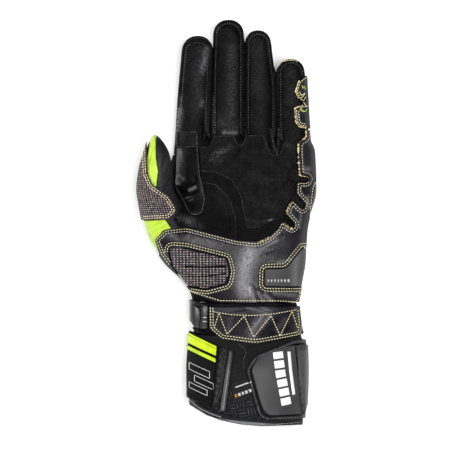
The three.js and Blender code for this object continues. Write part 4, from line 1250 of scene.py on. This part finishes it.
RAW_EDGE = thread("cut hide edge, cream", "#c99f4e", "#fff0bc", 0.8)
AMBER = thread("woven yarn, amber", "#b8791a", "#d99a2c")
# Grey edge strands: waxed piping, and overlay rims paler as a painted highlight
WAXED_EDGE_AND_SHEEN = thread("hide edge, waxed grey, partly painted edge highlight", "#1c1c1e", "#545456", 0.6, 0.2)
SUEDE_EDGE_SHEEN = thread("suede edge, grey, painted edge highlight", "#1c1c1e", "#404042", 0.7, 0.1)
NEON_THREAD = thread("sewing thread, fluorescent", "#aede28", "#ccf060")
FRAYED = thread("aramid yarn, frayed", "#17131b", "#5e5358", 0.9, 0.1)
WHITE_PRINT = rubber("rubber print, white", "#f0f0f0", "#fafafa", 0.55)


# Pieces

pieces = {}


def shown(obj, name, material):
    """A piece of the glove: smooth, in its material, riding on the frame."""
    named(obj, name)
    obj.data.materials.clear()
    obj.data.materials.append(material)
    for polygon in obj.data.polygons:
        polygon.use_smooth = True
    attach(obj, "root")
    pieces[name] = obj
    return obj


def finished(obj, material, slot, *nodes):
    """A piece that stands for one or more CAD nodes."""
    shown(obj, f"{nodes[0]}_soft", material)
    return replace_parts(obj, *nodes)


def finger_space(index):
    """The space of one finger, between the lines beside it."""
    left, right = ([p for p in line if p[1] > 40] for line in BETWEEN[index:index + 2])
    start = FINGER_CUT - LAP
    return block(((BETWEEN[index][0][0], start), *left, *reversed(right), (BETWEEN[index + 1][0][0], start)))


def seam_space(name, share, level):
    """The space beyond a finger's side seam, up to a level."""
    tip, rows = FINGERS[name]
    last, before = rows[-1], rows[-2]
    lean = (last[3] - before[3]) / (last[0] - before[0])
    end = tip + 10
    line = [(y, z + share * deep) for y, _, _, z, deep in rows]
    line.append((end, last[3] + lean * (end - last[0]) + share * last[4]))
    return block((*line, (end, level), (line[0][0], level)), -FAR, FAR, across=True)


def filled_out(wall, index):
    """Lets a finger's side wall swell until it all but touches the next finger."""
    points, normals = read(wall), normals_of(wall)
    for side, line in ((-1, BETWEEN[index]), (1, BETWEEN[index + 1])):
        if abs(line[0][0]) < 40:
            limit = np.interp(points[:, 1], *np.transpose([(y, x) for x, y in line])) + side * 0.06
            away = np.clip(side * (limit - points[:, 0]), 0, None)
            end = min(FINGERS[name][0] for name in list(FINGERS)[min(index, index + side):][:2])
            share = np.clip((end - 5 - points[:, 1]) / 5, 0, 1) * np.clip((3.6 - away) / 1.4, 0, 1)
            share *= np.clip(side * normals[:, 0] * 2.5 - 1.2, 0, 1)
            points[:, 0] += side * away * share
    write(wall, points)


def build_fingers():
    for index, name in enumerate(FINGERS):
        which = "odd" if index % 2 == 0 else "even"
        shell = keep(copy_of(FORMS[which], "shell"), finger_space(index))
        cut(shell, form(-WALL, which))
        front = seam_space(name, FINGER_SEAM, HIGH)
        back = seam_space(name, -FINGER_SEAM, LOW)
        face = remesh(keep(copy_of(shell, "face"), front), FACE_VOXEL, 8)
        rear = remesh(keep(copy_of(shell, "rear"), back), WALL_VOXEL, 3)
        wall = remesh(cut(copy_of(shell, "wall"), front, back), WALL_VOXEL, 3)
        uneven(face, 20, 0.7, (1, 0.6, 1), index)
        uneven(face, 7, 0.18, seed=3 + index)
        creased(face, FINGER_FOLDS[name])
        pressed(face, FINGER_ROWS[name], 0.45, 0.6)
        pressed(face, beside(FINGER_ROWS[name], 1.3), 0.9, 0.5)
        filled_out(wall, index)
        # Painted highlights as pale grain along the marks
        for obj in (face, wall):
            painted_sheen(obj, FINGER_HIGHLIGHTS[name])
        uneven(rear, 14, 0.4, (1, 0.6, 1), 5 + index)
        for obj, part in ((face, "front"), (rear, "back"), (wall, "sidewall")):
            finished(obj, GOATSKIN, "glove_leather", f"{name}_{part}")


def build_hand():
    shell = keep(copy_of(FORMS["odd"], "shell"), form(BODY_REACH, "body"), band(HEM_Y, FINGER_CUT + LAP))
    cut(shell, form(-WALL, "odd"))
    front = keep(copy_of(shell, "front"), above(SIDE_SEAM + GAP / 2))
    rear = keep(copy_of(shell, "back"), below(SIDE_SEAM - GAP / 2))
    finished(remesh(front, WALL_VOXEL, 3), DULL_HIDE, "glove_leather", "palm_leather", "heel_leather")
    finished(remesh(rear, BACK_VOXEL, 3), GOATSKIN, "glove_leather", "back_leather")
    uneven(front, 14, 0.5, seed=9)
    uneven(rear, 22, 0.5, (1, 1, 0.5), 3)
    middle, reach, drawn_in = 30, 26, 3
    for obj in (front, rear):
        points = read(obj)
        along = np.clip(1 - ((points[:, 1] - middle) / reach) ** 2, 0, 1)
        points[:, 0] -= drawn_in * along * np.clip(-normals_of(obj)[:, 0] * 1.6 - 0.5, 0, 1)
        write(obj, points)
    # Painted highlights as pale grain along the marks
    painted_sheen(front, THENAR_HIGHLIGHTS)


def build_thumb():
    shell = keep(copy_of(FORMS["odd"], "shell"), block(THUMB_SIDE))
    cut(shell, form(-WALL, "odd"), form(GAP, "body"))
    strip = (*STRIP_LEFT, *reversed(STRIP_RIGHT))
    back_side = ((-FAR, FAR), *STRIP_LEFT, (STRIP_LEFT[-1][0], -FAR), (-FAR, -FAR))
    rest = cut(copy_of(shell, "rest"), block(grown(strip, GAP)), block(grown(GUSSET, GAP)))
    leather = cut(copy_of(rest, "leather"), block(grown(back_side, GAP)))
    rear = keep(copy_of(rest, "rear"), block(back_side))
    insert = keep(copy_of(shell, "insert"), block(strip))
    gusset = keep(copy_of(shell, "gusset"), block(GUSSET))
    for obj in (leather, rear, insert, gusset):
        remesh(obj, THUMB_VOXEL, 3)
    creased(gusset, GUSSET_FOLDS)
    creased(insert, INSERT_FOLDS)
    creased(leather, THUMB_FOLDS)
    # Painted highlights as pale grain along the marks
    painted_sheen(leather, THUMB_HIGHLIGHTS)
    finished(leather, THUMB_HIDE, "glove_leather", "thumb_leather")
    finished(rear, GOATSKIN, "glove_leather", "thumb_back")
    finished(insert, NEON, "neon_leather", "thumb_insert")
    finished(gusset, NEON, "neon_leather", "thumb_gusset")
    guard = layer(over(THUMB_GUARD, GUARD_LOW), GUARD_LAYER, within=[block(THUMB_SIDE)])
    grooved(guard, GUARD_LINES, 0.35, 0.6)
    woven_over(guard, round_thumb(read(guard)), GUARD_THREADS)
    finished(guard, WOVEN, "woven_guard", "thumb_guard")


def round_thumb(points, radius=14):
    """Places on the cloth of the thumb: partly across and partly round it, and along it."""
    rows = np.array(THUMB, float)
    middle_x, middle_z = ((rows[:, i] + rows[:, i + 1]) / 2 for i in (1, 3))
    x = points[:, 0] - np.interp(points[:, 1], rows[:, 0], middle_x)
    z = points[:, 2] - np.interp(points[:, 1], rows[:, 0], middle_z)
    return np.stack((0.7 * x + 0.3 * radius * np.arctan2(x, z), points[:, 1], 0 * x), 1)


def build_palm():
    heel_space = over(HEEL_PANEL, LAYER_LOW, GAP)
    guard_space = over(THUMB_GUARD, GUARD_LOW, GAP)
    web_space = over(WEB_PATCH, SIDE_SEAM, GAP)
    palm = layer(over(PALM_OVERLAY, SIDE_SEAM), PALM_LAYER, less=[heel_space])
    thenar = layer(over(THENAR_OVERLAY, SIDE_SEAM), PALM_LAYER, less=[web_space, heel_space, guard_space])
    web = layer(over(WEB_PATCH, SIDE_SEAM), PALM_LAYER, less=[guard_space])
    strip = layer(over(WEB_BAND, SIDE_SEAM), PALM_LAYER)
    bulged(web, WEB_SWELL, 8, 1.4)
    grooved(web, [resample(line, 0.6) for line in WEB_VALLEYS], 1.5, 1.3)
    uneven(palm, 18, 0.5, seed=2)
    creased(palm, PALM_FOLDS)
    grooved(palm, PALM_LINES, 0.7, 0.55)
    grooved(thenar, THENAR_LINES, 0.7, 0.55)
    grooved(web, WEB_LINES, 0.2, 0.5)
    grooved(strip, WEB_LINES, 0.2, 0.5)
    # Painted highlights as pale grain along the marks
    for piece, marks in ((palm, PALM_HIGHLIGHTS), (thenar, THENAR_HIGHLIGHTS), (web, WEB_HIGHLIGHTS), (strip, STRIP_HIGHLIGHTS)):
        painted_sheen(piece, marks)
    finished(palm, SUEDE, "palm_suede", "palm_overlay")
    finished(thenar, DULL_HIDE, "glove_leather", "thenar_overlay")
    finished(web, GLOSS_HIDE, "glove_leather", "web_patch")
    finished(strip, SUEDE, "palm_suede", "web_band")


def build_heel():
    windows = [over(rows, LOW, GAP) for rows in (PAD_WINDOW, PATCH_WINDOW, EDGE_SLIDER)]
    panel = layer(over(HEEL_PANEL, LAYER_LOW), HEEL_LAYER, within=[band(HEM_Y, FAR)], less=windows, smooth=10)
    bulged(panel, HEEL_SWELL, 8, 1.2)
    creased(panel, HEEL_FOLDS)
    uneven(panel, 16, 0.5, seed=7)
    grooved(panel, [HEEL_OUTER, HEEL_INNER, *HEEL_LINES], 0.5, 0.55)
    # Painted highlights as pale grain along the marks
    painted_sheen(panel, HEEL_HIGHLIGHTS)
    finished(panel, COWHIDE, "heel_leather", "heel_panel")
    pad = layer(over(PAD_WINDOW, LAYER_LOW, -0.4), PAD_RISE, voxel=PAD_VOXEL, smooth=2)
    crown(pad, resample(rounded(PAD_WINDOW), 0.8, True), 4, 1.2)
    swollen(pad, PAD_SWELL)
    apply(pad, "SUBSURF", levels=2, render_levels=2)
    for slit, width in PAD_SLITS:
        pressed(pad, slit, 0.4, 1.2)
        cut(pad, strip_space(resample(slit, 2), width, SIDE_SEAM))
    woven_over(pad, read(pad), PAD_THREADS)
    finished(pad, WOVEN, "woven_guard", "heel_pad")
    patch = layer(over(PATCH_WINDOW, LAYER_LOW), PATCH_LAYER)
    # Painted highlights as pale grain along the marks
    painted_sheen(patch, PATCH_HIGHLIGHTS)
    finished(patch, GREY_RUBBER, "grey_rubber", "heel_patch")
    slider = layer(over(EDGE_SLIDER, LAYER_LOW), PATCH_LAYER)
    finished(slider, BLACK_RUBBER, "black_rubber", "edge_slider")
    little = layer(over(LITTLE_SIDE, LAYER_LOW), HEEL_LAYER)
    pressed(little, LITTLE_LINE, 0.35, 0.6)
    finished(little, COWHIDE, "heel_leather", "little_panel")


def body_shell(low, high, outside=0.0, inside=-WALL):
    piece = copy_of(form(outside, "body"), "shell")
    return cut(keep(piece, band(low, high)), form(inside, "body"))


def build_wrist():
    sleeve = remesh(body_shell(CUFF_Y + GAP, HEM_Y - GAP), WALL_VOXEL, 2)
    points = read(sleeve)
    wander = np.array([noise.noise(p) for p in points / (14, 9, 14)])
    gathers = np.cos((points[:, 1] + 3.2 * wander) * 2 * math.pi / GATHER_PITCH)
    held = np.clip(np.minimum(points[:, 1] - CUFF_Y, HEM_Y - points[:, 1]) / 3, 0, 1)
    moved(sleeve, (0.75 * gathers - 0.5) * held)
    finished(sleeve, GOATSKIN, "glove_leather", "wrist_sleeve")
    strap = layer(over(WRIST_STRAP, WRAP_LOW), STRAP_LAYER, less=[over(WRIST_TAB, WRAP_LOW, GAP)])
    bulged(strap, STRAP_SWELL, 7, 1.3)
    creased(strap, STRAP_FOLDS)
    grooved(strap, STRAP_LINES, 0.35, 0.6)
    # Painted highlights as pale grain along the marks
    painted_sheen(strap, STRAP_HIGHLIGHTS)
    finished(strap, COWHIDE, "heel_leather", "wrist_strap")
    tab = layer(over(WRIST_TAB, WRAP_LOW), STRAP_LAYER)
    bulged(tab, TAB_SWELL, 3.6, 1.2)
    pressed(tab, TAB_VALLEY, 1.8, 0.8)
    pressed(tab, TAB_DIP, 1.3, 0.7)
    finished(tab, BLACK_RUBBER, "black_rubber", "wrist_tab")


def past_mouth(shift):
    """The space past the mouth's edge, which slants from the front to the back."""
    edge = [(x, y + shift) for x, y in MOUTH]
    return block((*edge, (FAR, -3 * FAR), (-FAR, -3 * FAR)), LOW, HIGH, MOUTH_SLANT)


def build_cuff():
    past_hem = past_mouth(HEM_WIDTH)
    shell = cut(body_shell(-2 * FAR, CUFF_Y), past_hem)
    front = remesh(keep(copy_of(shell, "front"), above(SIDE_SEAM + GAP / 2)), CUFF_VOXEL, 3)
    rear = remesh(keep(copy_of(shell, "rear"), below(SIDE_SEAM - GAP / 2)), CUFF_BACK_VOXEL, 3)
    creased(front, CUFF_FOLDS)
    finished(front, CUFF_CLOTH, "cuff_fabric", "cuff_front")
    finished(rear, CUFF_CLOTH, "cuff_fabric", "cuff_back")
    inner = -WALL - GAP
    lining = body_shell(-2 * FAR, LINING_Y, inner, inner - LINING)
    finished(largest(cut(lining, past_hem)), LINING_CLOTH, "lining_cloth", "cuff_lining")
    hem = copy_of(form(HEM_RISE, "body"), "hem")
    cut(hem, form(inner - LINING - HEM_RISE, "body"))
    mouth = keep(cut(past_mouth(HEM_WIDTH - GAP), past_mouth(0)), band(-2 * FAR, 0))
    remesh(cut(keep(hem, mouth), block(HEM_LIFT, SIDE_SEAM)), HEM_VOXEL, 5)
    points = read(hem)
    middle_x, middle_z, radius = 15, 31, 38
    around = np.arctan2(points[:, 2] - middle_z, points[:, 0] - middle_x) * radius
    moved(hem, 0.16 * np.cos(around * 2 * math.pi / HEM_PITCH))
    # Painted highlights as pale grain along the marks
    painted_sheen(hem, HEM_HIGHLIGHTS)
    finished(hem, BINDING, "cuff_fabric", "hem_binding")
    outside = inner - LINING - HEM_RISE - 0.1
    turned_in = body_shell(-2 * FAR, LINING_Y, round(outside, 3), round(outside - TURNED_IN, 3))
    keep(cut(turned_in, past_mouth(0.4)), past_mouth(HEM_WIDTH + 2))
    shown(largest(turned_in), "lining_edge", LINING_CLOTH)


def build_flaps():
    face = round(GAP + FLAP_LAYER + GAP, 3)
    taken = [over(rows, LOW, GAP) for rows in (WRIST_STRAP, WRIST_TAB)] + [past_mouth(HEM_WIDTH)]
    inner_space, tape_space = over(INNER_FLAP, WRAP_LOW), over(INNER_FLAP, WRAP_LOW, -0.4)
    roll_space, closure_space = over(FLAP_ROLL, LOW, GAP), over(CLOSURE_FLAP, LOW, GAP)
    inner = layer(inner_space, FLAP_LAYER, which="body", less=taken)
    finished(inner, FLAP_CLOTH, "cuff_fabric", "inner_flap")
    ribbed_roll(inner, FLAP_HEM, 2.4, 0.9, FLAP_PITCH)
    for name, corners in (("tape_wide", TAPE_WIDE), ("tape_narrow", TAPE_NARROW)):
        tape = layer(over(corners, WRAP_LOW), TRIM_LAYER, face, "body", within=[tape_space],
                     voxel=TRIM_VOXEL, smooth=2)
        finished(tape, NEON_TAPE, "neon_leather", name)
    pressed(pieces["tape_wide_soft"], TAPE_LINE, 0.5, 0.35)
    stretch = layer(over(STRETCH_BAND, SIDE_SEAM), PALM_LAYER, which="body",
                    less=[*taken, over(INNER_FLAP, LOW, GAP), roll_space], voxel=BAND_VOXEL, smooth=2)
    points = read(stretch)
    x, y = points[:, 0], points[:, 1]
    ribs = np.cos((x * 0.99 - y * 0.135) * 2 * math.pi / BAND_PITCH)
    crossed = [np.cos((y + lean * x) * 2 * math.pi / BAND_CROSS_PITCH) ** 8 for lean in (1.6, -1.2)]
    moved(stretch, (0.3 * ribs - 0.5 * crossed[0] - 0.5 * crossed[1]) * facing_up(stretch))
    # Painted highlights as pale grain along the marks
    painted_sheen(stretch, STRETCH_HIGHLIGHTS)
    finished(stretch, BINDING, "cuff_fabric", "stretch_band")
    roll = layer(over(FLAP_ROLL, SIDE_SEAM), FLAP_LAYER, which="body", less=taken, smooth=12)
    crown(roll, resample(rounded(FLAP_ROLL), 0.5, True), 2.2, 1.7)
    # Painted highlights as pale grain along the marks
    painted_sheen(roll, ROLL_HIGHLIGHTS)
    finished(roll, ROLL, "grey_roll", "flap_roll")
    label = layer(over(LABEL, SIDE_SEAM), TRIM_LAYER, which="body",
                  less=[roll_space, closure_space], voxel=TRIM_VOXEL, smooth=2)
    finished(label, BINDING, "cuff_fabric", "cuff_label")
    closure = layer(over(CLOSURE_FLAP, WRAP_LOW), FLAP_LAYER, which="body", less=taken)
    finished(closure, BINDING, "cuff_fabric", "closure_flap")
    rolled(closure, beside(CLOSURE_EDGE, 1.5), 1.7, 1.3)
    # Painted highlights as pale grain along the marks
    painted_sheen(closure, CLOSURE_HIGHLIGHTS)
    patch = layer(over(CLOSURE_PATCH, SIDE_SEAM), PALM_LAYER, face, "body")
    finished(patch, GREY_RUBBER, "grey_rubber", "closure_patch")
    fold = layer(over(CLOSURE_FOLD, WRAP_LOW), PALM_LAYER, face, "body")
    x = read(fold)[:, 0]
    past = np.clip((x - 53) / 8, 0, 1)
    crease = 1.3 * np.exp(-((x - 52.8) / 1.2) ** 2)
    moved(fold, (2.2 * np.sin(past * math.pi) ** 0.7 - crease) * facing_up(fold))
    pressed(fold, FOLD_DIP, 3.2, 1.3)
    # Painted highlights as pale grain along the marks
    painted_sheen(fold, FOLD_HIGHLIGHTS)
    finished(fold, GREY_RUBBER, "grey_rubber", "closure_fold")


# Seams: rows of stitches, strands and prints that lie on the finished pieces

def on_top(line, lift):
    """A line seen from above, laid on the glove. It ends where the glove does."""
    graph = bpy.context.evaluated_depsgraph_get()
    places = []
    for x, y in np.asarray(line, float)[:, :2]:
        start = Vector(((x + SHIFT[0]) * MM, (y + SHIFT[1]) * MM, 0.2))
        hit, place, normal, *_ = bpy.context.scene.ray_cast(graph, start, Vector((0, 0, -1)))
        if hit and place.z > 0.002:
            places.append(place + normal * lift * MM)
    return places


def laid(rows, step, lift):
    return [on_top(resample(line, step), lift) for line in rows]


def curve_of(*lines, beads=0.0):
    """A curve object through the lines' points. Beads: how much the strand's thickness changes along it."""
    data = bpy.data.curves.new("path", "CURVE")
    data.dimensions = "3D"
    for points in lines:
        spline = data.splines.new("POLY")
        spline.points.add(len(points) - 1)
        spline.points.foreach_set("co", [c for p in points for c in (*p, 1)])
        thick = [max(0.05, 1 + beads * noise.noise(Vector(p) / (1.1 * MM))) for p in points]
        spline.points.foreach_set("radius", thick)
    obj = bpy.data.objects.new("path", data)
    bpy.context.scene.collection.objects.link(obj)
    return obj


def stitches(line, pitch, length, thick, lift):
    """One row: a stitch modelled once, repeated by an array and bent along the seam."""
    path = on_top(resample(line, 0.7), lift)
    if len(path) < 3:
        return None
    run = sum((b - a).length for a, b in zip(path, path[1:])) / MM
    count = max(2, round(run / pitch))
    step = run / count
    bpy.ops.mesh.primitive_uv_sphere_add(segments=6, ring_count=5, radius=0.5)
    row = bpy.context.object
    row.rotation_euler = (0, math.pi / 2, 0)
    bpy.ops.object.transform_apply(location=True, rotation=True, scale=True)
    row.scale = (length * MM, thick * MM, thick * 0.8 * MM)
    row.location = (step / 2 * MM, 0, 0)
    bpy.ops.object.transform_apply(location=True, rotation=True, scale=True)
    apply(row, "ARRAY", count=count, use_relative_offset=False, use_constant_offset=True,
          constant_offset_displace=(step * MM, 0, 0))
    curve = curve_of(path)
    bpy.context.view_layer.update()
    apply(row, "CURVE", object=curve, deform_axis="POS_X")
    bpy.data.objects.remove(curve)
    return row


def one_piece(parts):
    parts = [part for part in parts if part]
    only(parts[0])
    for part in parts:
        part.select_set(True)
    if len(parts) > 1:
        bpy.ops.object.join()
    return bpy.context.object


def sewn(name, lines, material, pitch=2.2, length=1.5, thick=0.72, lift=0.12):
    rows = [stitches(line, pitch, length, thick, lift) for line in lines]
    return shown(one_piece(rows), name, material)


def strand(name, lines, radius, material, beads=0.0):
    """Threads or cut edges: round strands along lines in the row frame."""
    curve = curve_of(*(line for line in lines if len(line) > 1), beads=beads)
    curve.data.bevel_depth = radius * MM
    curve.data.bevel_resolution = 1
    curve.data.use_fill_caps = True
    only(curve)
    bpy.ops.object.convert(target="MESH")
    return shown(bpy.context.object, name, material)


def swung(points):
    """A soft curve through points of x, y and height over the glove, laid on it."""
    points = np.asarray(points, float)
    rows = np.vstack((2 * points[0] - points[1], points, 2 * points[-1] - points[-2]))
    curve = []
    for a, b, c, d in zip(rows, rows[1:], rows[2:], rows[3:]):
        square, cube = 2 * a - 5 * b + 4 * c - d, 3 * b - a - 3 * c + d
        for t in np.arange(0, 1, min(0.5, 0.5 / np.linalg.norm(c - b))):
            curve.append(0.5 * (2 * b + (c - a) * t + square * t ** 2 + cube * t ** 3))
    curve.append(points[-1])
    places = []
    for x, y, height in curve:
        place = on_top(((x, y),), 0.15)
        if place:
            places.append(place[0] + Vector((0, 0, height * MM)))
    return places


def fringe(line, pitch, reach, seed):
    """Short loose fibres that stand out to the left of a line."""
    line = resample(line, pitch)
    fibres = []
    for i, (a, b) in enumerate(zip(line[:-1], line[1:])):
        run = (b - a) / np.linalg.norm(b - a)
        side = np.array((-run[1], run[0]))
        jitter = [noise.noise(Vector((seed + 0.71 * i, 3.3 * k, 0))) for k in range(4)]
        length = reach * (0.6 + 1.1 * jitter[0])
        start = a + run * pitch * jitter[1]
        end = start + side * length + run * length * 1.3 * jitter[2]
        bend = (start + end) / 2 + run * length * 0.5 * jitter[3]
        places = on_top((start - side * 0.35, start, bend, end), 0.12)
        if len(places) == 4:
            fibres.append(places)
    return fibres


def stripe(line, width):
    """A thin flat stripe that follows a line on the glove."""
    path = resample(line, 1)
    bpy.ops.mesh.primitive_grid_add(x_subdivisions=len(path) - 1, y_subdivisions=max(2, round(width)), size=1)
    obj = bpy.context.object
    places = np.array([v.co for v in obj.data.vertices])
    run = np.gradient(path, axis=0)
    run /= np.linalg.norm(run, axis=1)[:, None]
    i = np.rint((places[:, 0] + 0.5) * (len(path) - 1)).astype(int)
    flat = path[i] + np.stack((-run[i, 1], run[i, 0]), 1) * places[:, 1:2] * width
    obj.data.vertices.foreach_set("co", np.array(on_top(flat, 0.08)).ravel())
    with editing(obj):
        bpy.ops.mesh.normals_make_consistent(inside=False)
    return apply(obj, "SOLIDIFY", thickness=0.12 * MM, offset=0)


def build_seams():
    zigzag = list(zip(STRAP_ZIGZAG, STRAP_ZIGZAG[1:]))
    for name, rows in (
        ("heel_stitching", [HEEL_OUTER, *HEEL_LINES]),
        ("guard_stitching", GUARD_LINES),
        ("little_stitching", [part_of(LITTLE_LINE, (61, 111), (55.6, 96.6)),
                              part_of(LITTLE_LINE, (53, 86), (60.6, 73.6))]),
        ("slider_stitching", [SLIDER_SEAM]),
        ("strap_stitching", STRAP_LINES + zigzag),
    ):
        sewn(name, rows, CREAM)
    sewn("heel_inner_stitching", [HEEL_INNER], SILVER)
    sewn("little_inner_stitching", [LITTLE_INNER_LINE], SILVER)
    sewn("finger_stitching", list(FINGER_ROWS.values()), GREY, 1.9, 0.8, 0.56, 0.02)
    palm = [*PALM_LINES, *THENAR_LINES, *WEB_LINES]
    sewn("palm_stitching", palm, INK, 1.9, 0.8, 0.56, 0.02)
    sewn("tape_stitching", [TAPE_LINE], INK, 1.7, 1.2, 0.5, 0.05)
    sewn("flap_stitching", [beside(CLOSURE_EDGE, 3.6)], INK, 1.9, 1.3, 0.4, 0.02)
    sewn("hem_stitching", [HEM_SEAM], PALE, 2.3, 1.5, 0.45, 0.05)


def build_strands():
    edge = beside(HEEL_EDGE, -0.2)
    little = beside(LITTLE_EDGE, 0.2)
    raw = [on_top(part_of(edge, start, end), 0.1) for start, end in RAW_EDGES]
    little_raw = [part_of(little, start, end) for start, end in LITTLE_RAW_EDGES]
    strand("raw_edges", raw, 0.32, RAW_EDGE, 3.4)
    strand("little_raw_edge", laid(little_raw, 0.4, 0.1), 0.36, RAW_EDGE, 2)
    # Grey rims on the overlays' edges: the cut edges, paler as a painted highlight
    strand("web_rims", laid(WEB_RIMS, 0.5, 0), 0.32, WAXED_EDGE_AND_SHEEN, 0.8)
    strand("palm_rims", laid(PALM_RIMS, 0.5, 0), 0.3, SUEDE_EDGE_SHEEN, 0.8)
    strand("lining_piping", [swung(LINING_PIPING)], 0.45, LINING_CLOTH, 0.4)
    strand("cuff_piping", laid([open_edge(CUFF_PIPING)], 0.5, 0), 0.26, WAXED_EDGE_AND_SHEEN, 0.8)
    strand("tip_edge", laid([TIP_EDGE], 0.4, 0.05), 0.24, RAW_EDGE, 0.8)
    strand("loose_threads", [swung(points) for points in LOOSE], 0.24, CREAM)
    strand("loose_neon_threads", [swung(points) for points in LOOSE_NEON], 0.24, NEON_THREAD)
    strand("guard_edge", laid([GUARD_RIM], 0.4, 0), 0.5, FRAYED, 0.8)
    strand("guard_fringe", fringe(GUARD_RIM, 0.5, 1, 3), 0.12, FRAYED)


def build_prints():
    label = broken(*LABEL_STRIPE, 5, 0.76)
    for name, stripes, material, slot in (
        ("closure_print", [*broken(*CLOSURE_STRIPE, 6, 0.84), CLOSURE_LINE], WHITE_PRINT, "grey_rubber"),
        ("label_print", [LABEL_LINE, *label[1:]], PALE, "cuff_fabric"),
        ("label_mark", label[:1], AMBER, "cuff_fabric"),
        ("patch_print", broken(*PATCH_STRIPE, 7, 0.66), PALE, "grey_rubber"),
        ("tab_print", TAB_LINES, PALE, "black_rubber"),
        ("flap_print", bar_outlines(), PALE, "cuff_fabric"),
    ):
        shown(one_piece([stripe(line, width) for line, width in stripes]), name, material)


# Floor, light and camera

# Lamps: place, size and power
LAMPS = {
    "key": ((0.42, -0.05, 2.2), 0.7, 42),
    "second": ((-0.5, 0.4, 2.2), 0.6, 9),
    "left": ((-1.5, 0.25, 1.15), 0.45, 18),
    "right": ((1.5, -0.6, 1.2), 0.6, 3),
}
FLOOR_DROP = 0.0002
CAMERA_HEIGHT = 2.4
FOCUS_HEIGHT = 0.02
PICTURE_WIDTH = 0.342  # across the picture, at the focus height
SENSOR_WIDTH = 36
MIDDLE = (-0.0013, -0.00057)


def build_floor():
    bpy.ops.mesh.primitive_plane_add(size=8, location=(0, 0, -FLOOR_DROP))
    floor = named(bpy.context.object, "floor")
    it = Finish("paper, white", 0.9, "#f4f4f4", Specular_IOR_Level=0.1, Emission_Strength=0.3)
    it.shader["Emission Color"].default_value = linear("#ffffff")
    it.join(Base_Color=it.shades(it.noise(300), "#f2f2f2", "#f7f7f7"))
    floor.data.materials.append(it.material)


def build_light():
    for name, (place, size, power) in LAMPS.items():
        data = bpy.data.lights.new(name, "AREA")
        data.shape = "SQUARE"
        data.size = size
        data.energy = power
        lamp = bpy.data.objects.new(name, data)
        lamp.location = place
        lamp.rotation_euler = (-Vector(place)).to_track_quat("-Z", "Y").to_euler()
        bpy.context.scene.collection.objects.link(lamp)
    world = bpy.data.worlds.new("studio")
    world.use_nodes = True
    sky = world.node_tree.nodes["Background"].inputs
    sky["Color"].default_value = (0.9, 0.92, 0.95, 1)
    sky["Strength"].default_value = 0.1
    bpy.context.scene.world = world
    bpy.context.scene.view_settings.view_transform = "Standard"


def build_camera():
    data = bpy.data.cameras.new("camera")
    data.sensor_width = SENSOR_WIDTH
    data.lens = SENSOR_WIDTH * (CAMERA_HEIGHT - FOCUS_HEIGHT) / PICTURE_WIDTH
    camera = bpy.data.objects.new("camera", data)
    camera.location = (*MIDDLE, CAMERA_HEIGHT)
    bpy.context.scene.collection.objects.link(camera)
    bpy.context.scene.camera = camera


build_fingers()
build_hand()
build_thumb()
build_palm()
build_heel()
build_wrist()
build_cuff()
build_flaps()

# Forms and cutters have done their work, and only pieces stay.
kept = {*pieces.values(), *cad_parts.values()}
for obj in [o for o in bpy.context.scene.objects if o.type == "MESH" and o not in kept]:
    bpy.data.objects.remove(obj)

build_seams()
build_strands()
build_prints()
build_floor()
build_light()
build_camera()
